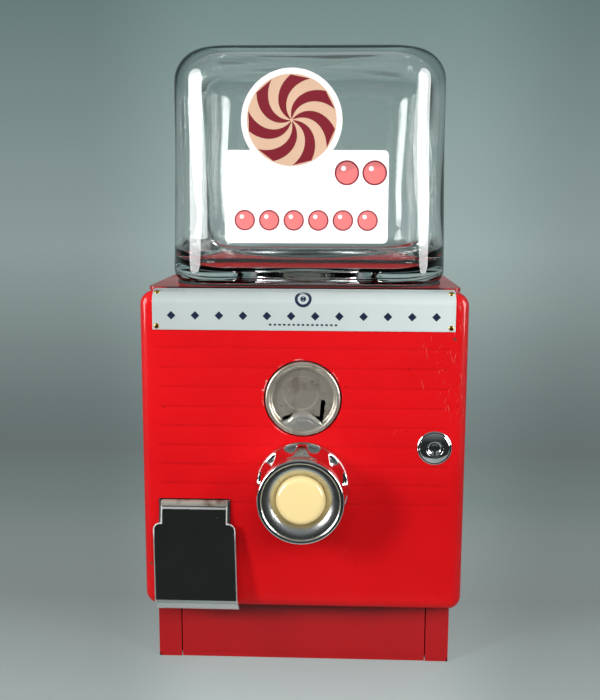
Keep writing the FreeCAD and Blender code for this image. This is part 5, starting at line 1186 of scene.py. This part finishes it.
def add_ring(inset, z, mix=0.0, radius=0.0, wave=0.0):
    """One ring of the globe; mix 1 makes it a circle of that radius."""
    flared = SIDE - inset + FLARE * max(0.0, min(1.0, (FLARE_TOP - z) / FLARE_FALL))
    ring = []
    for edge in rounded_square(flared, max(GLOBE_CORNER - inset, 6.0)):
        p = edge.lerp(edge.normalized() * radius, mix) if mix else edge
        ripple = wave * noise.noise(Vector((p.x * 0.028, p.y * 0.028, z * 0.02)) + WAVE_SHIFT)
        ring.append((GLOBE_X * (1 - mix) + p.x * (1 + ripple / SIDE), p.y * (1 + ripple / SIDE), z))
    rings.append(ring)


for z in (238.4, 240.0, 244.0, 247.2, 248.6):
    add_ring(0, z, mix=1.0, radius=56.0 - (0.6 if z < 239 else 0))
for mix in (0.9, 0.72, 0.5, 0.28, 0.12, 0.03):
    add_ring(6.0, BASE_Z, mix=mix, radius=57.0)
for a in np.radians(np.linspace(0, 90, 9)):
    add_ring(5.6 * (1 - math.sin(a)), BASE_Z + 8 * (1 - math.cos(a)), wave=0.2 * a)
for z in np.linspace(262, TOP_Z - 29, 22):
    add_ring(0, z, wave=0.35)
for a in np.radians(np.linspace(0, 90, 12)):
    add_ring(21 * (1 - math.cos(a)), TOP_Z - 26 + 21 * math.sin(a), wave=0.35)
print("outer rings", len(rings))

# %% The top, the inner wall and the neck
def cap(inset, z, rise, wave, inward=False):
    """Rings that shrink to the middle of the top, with a slight dome."""
    edge = rounded_square(SIDE - inset, max(GLOBE_CORNER - inset, 6.0))
    shares = [0.9, 0.75, 0.6, 0.45, 0.3, 0.15, 0.0]
    for share in reversed(shares) if inward else shares:
        ring = []
        for p in edge:
            x, y = p.x * share, p.y * share
            ripple = wave * noise.noise(Vector((x * 0.03, y * 0.03, 9))) if share else 0
            ring.append((GLOBE_X + x, y, z + rise * (1 - share**2) + ripple))
        rings.append(ring)


cap(21, TOP_Z - 5, 5.0, 0.2)
cap(22, TOP_Z - 9.8, 4.6, 1.0, inward=True)
for a in np.radians(np.linspace(90, 0, 12)):
    add_ring(WALL + 17 * (1 - math.cos(a)), TOP_Z - 27 + 17.2 * math.sin(a), wave=1.3)
for z in np.linspace(TOP_Z - 30, 274, 22):
    add_ring(WALL, z, wave=1.5)
for a in np.radians(np.linspace(90, 0, 13)):
    add_ring(WALL + 25 * (1 - math.sin(a)), BASE_Z + 7 + 17 * (1 - math.cos(a)), wave=1.2 * a)
for mix in (0.15, 0.4, 0.7, 0.92):
    add_ring(30.0, BASE_Z + 7, mix=mix, radius=50.5)
for z in (254.6, 250.0, 244.0, 239.0, 238.0):
    add_ring(0, z, mix=1.0, radius=49.0 + (0.6 if z < 238.5 else 0))
globe_points = [p for ring in rings for p in ring]
globe = smooth(make_piece("glass_globe", globe_points, join_rings(AROUND, len(rings), True)), 60)
finish_with(globe, glass, "globe", "clear_glass", "globe")

# %% The rubber under the foot
# The rubber runs out to the edge of the glass, so that it also stands for the dark line of shade under the
# foot: a dark sheet put where there is shade.
GASKET_LOW, GASKET_HIGH = 247.85, 248.75
points = []
for inset, z in ((0.4, GASKET_LOW), (10.4, GASKET_LOW), (10.4, GASKET_HIGH), (0.4, GASKET_HIGH)):
    points += [(GLOBE_X + p.x, p.y, z) for p in rounded_square(SIDE - inset, GLOBE_CORNER - inset)]
gasket = smooth(make_piece("foot_gasket", points, join_rings(AROUND, 4, True)), 40)
finish_with(gasket, rubber, "cabinet", "black_rubber", "globe_gasket")

# %% [markdown]
# ## The hems of the base
#
# The base is folded from sheet, and its lower edge has a hem that nearly touches the floor,
# so that only a dark line shows between paint and paper. The rubber feet stand just inside
# the hems. Each hem is a thin strip that carries on the plane of the sheet above it.

# %% Hems
HEM_LOW = -1.75
strips = [((-80.7, -84.2, HEM_LOW), (80.7, -83.2, 1.6)), ((-80.7, 94.95, HEM_LOW), (80.7, 95.95, 1.6))]
for side in (-1, 1):
    outer, inner = sorted((side * 96.35, side * 95.35))
    strips.append(((outer, -84.6, HEM_LOW), (inner, 96.35, 0.1)))
    near, far = sorted((side * 81.35, side * 96.35))
    strips.append(((near, -84.6, HEM_LOW), (far, -83.6, 0.1)))
finish_with(boxes("base_hems", *strips), base_red, "cabinet", "red_enamel")

# %% [markdown]
# ## The label on the glass
#
# A white paper label is stuck to the front of the globe. It is a band whose upper edge rises
# round a striped sweet, and its print is a plain candy motif: the sweet, a row of drops and
# a pair of larger ones. The blades of the sweet and the drops are copies, so two small
# trees lay them out.

# %% The label's paper
LABEL_Y, PAPER_THICK = -87.35, 0.12
LABEL_LEFT, LABEL_RIGHT, LABEL_LOW, LABEL_HIGH, LABEL_CORNER = -49.3, 51.5, 275.0, 331.7, 3.0
CANDY_X, CANDY_Z, CANDY_R = -8.0, 349.5, 28.5


def label_outline():
    """The label's edge: a band with round corners and the round sweet rising from it."""
    r, rim = LABEL_CORNER, CANDY_R + 2.5
    left, right, low, high = LABEL_LEFT + r, LABEL_RIGHT - r, LABEL_LOW + r, LABEL_HIGH - r
    spots = []
    for x, z, first in ((left, low, 180), (right, low, 270), (right, high, 0)):
        spots += arc(x, z, r, first, first + 90, 7)
    drop = CANDY_Z - LABEL_HIGH
    begin = math.degrees(math.atan2(-drop, math.sqrt(rim**2 - drop**2)))
    return spots + arc(CANDY_X, CANDY_Z, rim, begin, 180 - begin, 61) + arc(left, high, r, 90, 180, 7)


paper = slab("label_paper", label_outline(), LABEL_Y, LABEL_Y + PAPER_THICK)
finish_with(paper, label_white, "globe", "clear_glass")

# %% The label's print
mesh, copies, centre, finish = new_builder("copies round a centre", Copies=7, Centre=ORIGIN)
spots = get(mesh.tree, "GeometryNodePoints", {"Count": copies, "Position": centre})
each = get(mesh.tree, "GeometryNodeInputIndex") * (2 * math.pi / copies)
around = copied(spots, mesh, Rotation=turned_about((0.0, 1.0, 0.0), each))
turn_tree = end_builder(around, finish)


def blade(inner, outer, width, twist):
    """One curved blade of the sweet, drawn from its middle outwards, round the origin."""
    one, two = [], []
    for reach in np.linspace(inner, outer, 14):
        bend = twist * (reach / outer) ** 1.2
        for side, half in ((one, -width / 2), (two, width / 2)):
            side.append((reach * math.sin(bend + half), reach * math.cos(bend + half)))
    return one + two[::-1]


sweet = slab("label_sweet", blade(1.0, CANDY_R - 1.5, math.pi / 7, 1.1), 0.0, 0.05)
centre = (CANDY_X * MM, (LABEL_Y - 0.12) * MM, CANDY_Z * MM)
grow(sweet, turn_tree, Copies=7, Centre=centre, Finish=print_red)
finish_with(sweet, print_red, "globe", "clear_glass")

# %% Discs and rows of drops
mesh, copies, start, step, finish = new_builder(
    "copies on a line", Copies=7, Start=ORIGIN, Step=(0.01, 0.0, 0.0)
)
line = {"Count": copies, "Start Location": start, "Offset": step}
grid_tree = end_builder(copied(get(mesh.tree, "GeometryNodeMeshLine", line), mesh), finish)


def row_of(name, radius, copies, x, z, step, lift, ink):
    """A row of discs printed on the label; lift says how far one print lies over another."""
    dots = slab(name, arc(0, 0, radius, 0, 360, 41)[:-1], 0.0, 0.04)
    start = (x * MM, (LABEL_Y - lift) * MM, z * MM)
    grow(dots, grid_tree, Copies=copies, Start=start, Step=(step * MM, 0.0, 0.0), Finish=ink)
    return finish_with(dots, ink, "globe", "clear_glass")


row_of("label_sweet_ground", CANDY_R - 1.0, 1, CANDY_X, CANDY_Z, 1.0, 0.05, print_peach)
row_of("label_drop_rims", 6.4, 6, -37.0, 289.0, 15.2, 0.05, print_red)
row_of("label_drops", 5.5, 6, -37.0, 289.0, 15.2, 0.1, print_pink)
row_of("label_drop_glints", 1.3, 6, -38.8, 291.2, 15.2, 0.15, label_white)
row_of("label_pair_rims", 7.6, 2, 26.0, 318.0, 17.0, 0.05, print_red)
row_of("label_pair", 6.6, 2, 26.0, 318.0, 17.0, 0.1, print_pink)
row_of("label_pair_glints", 1.5, 2, 23.9, 320.6, 17.0, 0.15, label_white)

# %% [markdown]
# ## The brush over the portion wheel
#
# Inside, a short brush wipes spare candy off the wheel. Its bristles are a few hundred
# thin rods, set by a tree over the block's own footprint with a fixed seed.

# %% Bristles
ROOT_UP, HOLDER_UP = 2.6, 4.6
corners = np.array([v.co for v in nodes["portion_brush"].data.vertices], float)
middle = corners.mean(0)
_, _, directions = np.linalg.svd((corners - middle)[:, :2], full_matrices=False)
spans = [np.ptp((corners - middle)[:, :2] @ d) for d in directions]
low_z, high_z = corners[:, 2].min(), corners[:, 2].max()


def on_brush(along, across, z):
    """A place on the brush, from shares of its length and width and a height in millimetres."""
    spot = middle[:2] + directions[0] * spans[0] * along + directions[1] * spans[1] * across
    return spot[0] / MM, spot[1] / MM, z


mesh, length, thickness, lean, seed, finish = new_builder(
    "bristles", Length=0.005, Thickness=0.00022, Lean=0.12, Seed=4
)
rod = {"Vertices": 5, "Radius": thickness, "Depth": length}
rod = get(mesh.tree, "GeometryNodeMeshCylinder", rod)
tilt = {0: vector(-lean, -lean, 0.0), 1: vector(lean, lean, 0.0), "Seed": seed}
tilt = get(mesh.tree, "FunctionNodeRandomValue", tilt, data_type="FLOAT_VECTOR")
bristle_tree = end_builder(copied(mesh, rod, Rotation=tilt), finish)

places = [(u, v) for u in np.linspace(-0.47, 0.47, 44) for v in np.linspace(-0.4, 0.4, 5)]
roots = [on_brush(u, v, low_z / MM + ROOT_UP) for u, v in places]
bristles = make_piece("brush_bristles", roots, [])
grow(bristles, bristle_tree, Finish=hair)
finish_with(bristles, hair, "cabinet", "bristle")

ends = (low_z / MM + HOLDER_UP, high_z / MM)
bar = [on_brush(u, v, z) for u in (-0.5, 0.5) for v in (-0.5, 0.5) for z in ends]
holder = make_piece("brush_holder", bar, BOX_FACES)
soften(holder, 0.4, 2)
finish_with(smooth(holder), zinc, "cabinet", "bristle", "portion_brush")

# %% [markdown]
# ## Floor, backdrop and light
#
# The machine stands on a sheet of pale paper that curves up behind it. Two soft strips
# stand at its sides, as the bright lines on the corners of the glass show. They are only
# mirrored: two key lamps and a fill from the front light the paint. The room in front is
# dark, which is why the flap mirrors black.

# %% Paper sweep
FLOOR_Z = -2.0
sweep = [(-225.0, FLOOR_Z), (300.0, FLOOR_Z), (700.0, FLOOR_Z)]
sweep += arc(700, FLOOR_Z + 400, 400, -80, 0, 9) + [(1100.0, 900.0), (1100.0, 2400.0)]
points = [(x, y, z) for y, z in sweep for x in (-2600.0, 2600.0)]
faces = [(2 * n, 2 * n + 1, 2 * n + 3, 2 * n + 2) for n in range(len(sweep) - 1)]
paper_sweep = make_piece("paper_sweep", points, faces)
for face in paper_sweep.data.polygons:
    face.use_smooth = True
paper_sweep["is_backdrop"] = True

# %% The paper's tones, from the floor's front edge up the backdrop
# Painted light and shade: the tones follow how the light falls along the paper, lightest at the front edge,
# darker on the floor behind the machine, lighter up the backdrop and darker again at its top.
PAPER_STOPS = [(-0.139, (168, 181, 180)), (-0.07, (156, 168, 167)), (0.01, (136, 146, 145)),
               (0.11, (127, 137, 136)), (0.25, (111, 124, 121)), (0.45, (101, 112, 111)),
               (0.74, (107, 120, 119)), (0.95, (118, 131, 130)), (1.12, (130, 145, 143)),
               (1.27, (139, 155, 154)), (1.49, (128, 145, 143)), (1.76, (103, 123, 122))]
RAMP_START, RAMP_END, LIT_SHARE = -0.2, 1.8, 0.95

backdrop, shader, at = new_material("paper", tone(150, 160, 158), Roughness=0.9)
tree = at.tree
x, y, z = parts(at)
travel = y + z
share = fade(travel, RAMP_START, RAMP_END, how="LINEAR")
ramp = put(tree, "ShaderNodeValToRGB", [share])
for n, (spot, levels) in enumerate(PAPER_STOPS):
    stop = ramp.color_ramp.elements[n] if n < 2 else ramp.color_ramp.elements.new(1.0)
    stop.position, stop.color = (spot - RAMP_START) / (RAMP_END - RAMP_START), tone(*levels)
path = put(tree, "ShaderNodeLightPath").outputs
seen = Flow(tree, path["Is Camera Ray"])
for kind in ("Is Glossy Ray", "Is Transmission Ray"):
    seen = calc("MAXIMUM", seen, Flow(tree, path[kind]))
# Painted pool of light: the paper is lighter in a band round the machine's middle, wider further back.
painted_pool_reach = calc("MINIMUM", travel * 0.115 + 0.072, 0.2)
bright = fade(abs(x - 0.01) / painted_pool_reach, 1.05, 2.35, 1.32, 1.0)
paper_with_painted_pool = shaded(Flow(tree, ramp.outputs["Color"]), bright)
dimmed = blend(1.0, paper_with_painted_pool, (LIT_SHARE, LIT_SHARE, LIT_SHARE, 1.0), "MULTIPLY")
feed(shader, "Base Color", dimmed)
painted = get(tree, "ShaderNodeEmission", {"Color": paper_with_painted_pool, "Strength": 1.0})
shown = [seen * fade(travel, -0.12, 0.2, 0.45, 1.0), Flow(tree, shader.outputs[0]), painted]
feed(tree.nodes["Material Output"], "Surface", get(tree, "ShaderNodeMixShader", shown))
paper_sweep.data.materials.append(backdrop)
print("paper sweep from y", sweep[0][0], "to", sweep[-1][0])

# %% Lamps and the dark room
BODY_AIM, KEY_AIM = (0, -0.05, 0.28), (0, -0.08, 0.2)


def soft_lamp(name, place, aim, wide, high, watts, strip=False):
    """A soft lamp the camera doesn't see; a strip is only mirrored, any other lamp only lights."""
    data = bpy.data.lights.new(name, "AREA")
    data.shape = "ELLIPSE" if strip else "RECTANGLE"
    data.size, data.size_y, data.energy = wide, high, watts
    lamp = bpy.data.objects.new(name, data)
    lamp.location = place
    lamp.rotation_euler = (Vector(aim) - Vector(place)).to_track_quat("-Z", "Y").to_euler()
    lamp.visible_camera = False
    lamp.visible_glossy = lamp.visible_transmission = strip
    lamp.visible_diffuse = not strip
    bpy.context.scene.collection.objects.link(lamp)


soft_lamp("left strip", (-0.88, -0.36, 0.46), BODY_AIM, 0.52, 0.74, 11.0, strip=True)
soft_lamp("right strip", (0.89, -0.32, 0.46), BODY_AIM, 0.46, 0.74, 10.0, strip=True)
soft_lamp("left key", (-0.71, -0.74, 0.49), KEY_AIM, 0.22, 0.30, 5.4)
soft_lamp("right key", (0.68, -0.74, 0.49), KEY_AIM, 0.22, 0.30, 3.3)
soft_lamp("front fill", (0.05, -1.45, 0.85), (0, 0, 0.22), 1.2, 0.4, 8.2)

world = bpy.data.worlds.new("dark room")
bpy.context.scene.world = world
world.use_nodes = True
tree = world.node_tree
_, ahead, upward = parts(get(tree, "ShaderNodeTexCoord", (), "Generated"))
glow = fade(upward, 0.1, 0.8, 0.03, 0.26) + fade(ahead, -0.3, 0.5, 0.0, 0.12)
feed(tree.nodes["Background"], "Strength", glow)
tree.nodes["Background"].inputs["Color"].default_value = (0.9, 0.97, 1.0, 1.0)
bpy.context.scene.view_settings.view_transform = "Standard"
print("lamps and room set")

# %% [markdown]
# ## The size of the scene
#
# The dressed machine must fill the same box as the imported one, so its box is printed in millimetres.

# %% Print the scene's box
low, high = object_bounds()
print("scene box in mm", [round(v / MM, 1) for v in low], [round(v / MM, 1) for v in high])
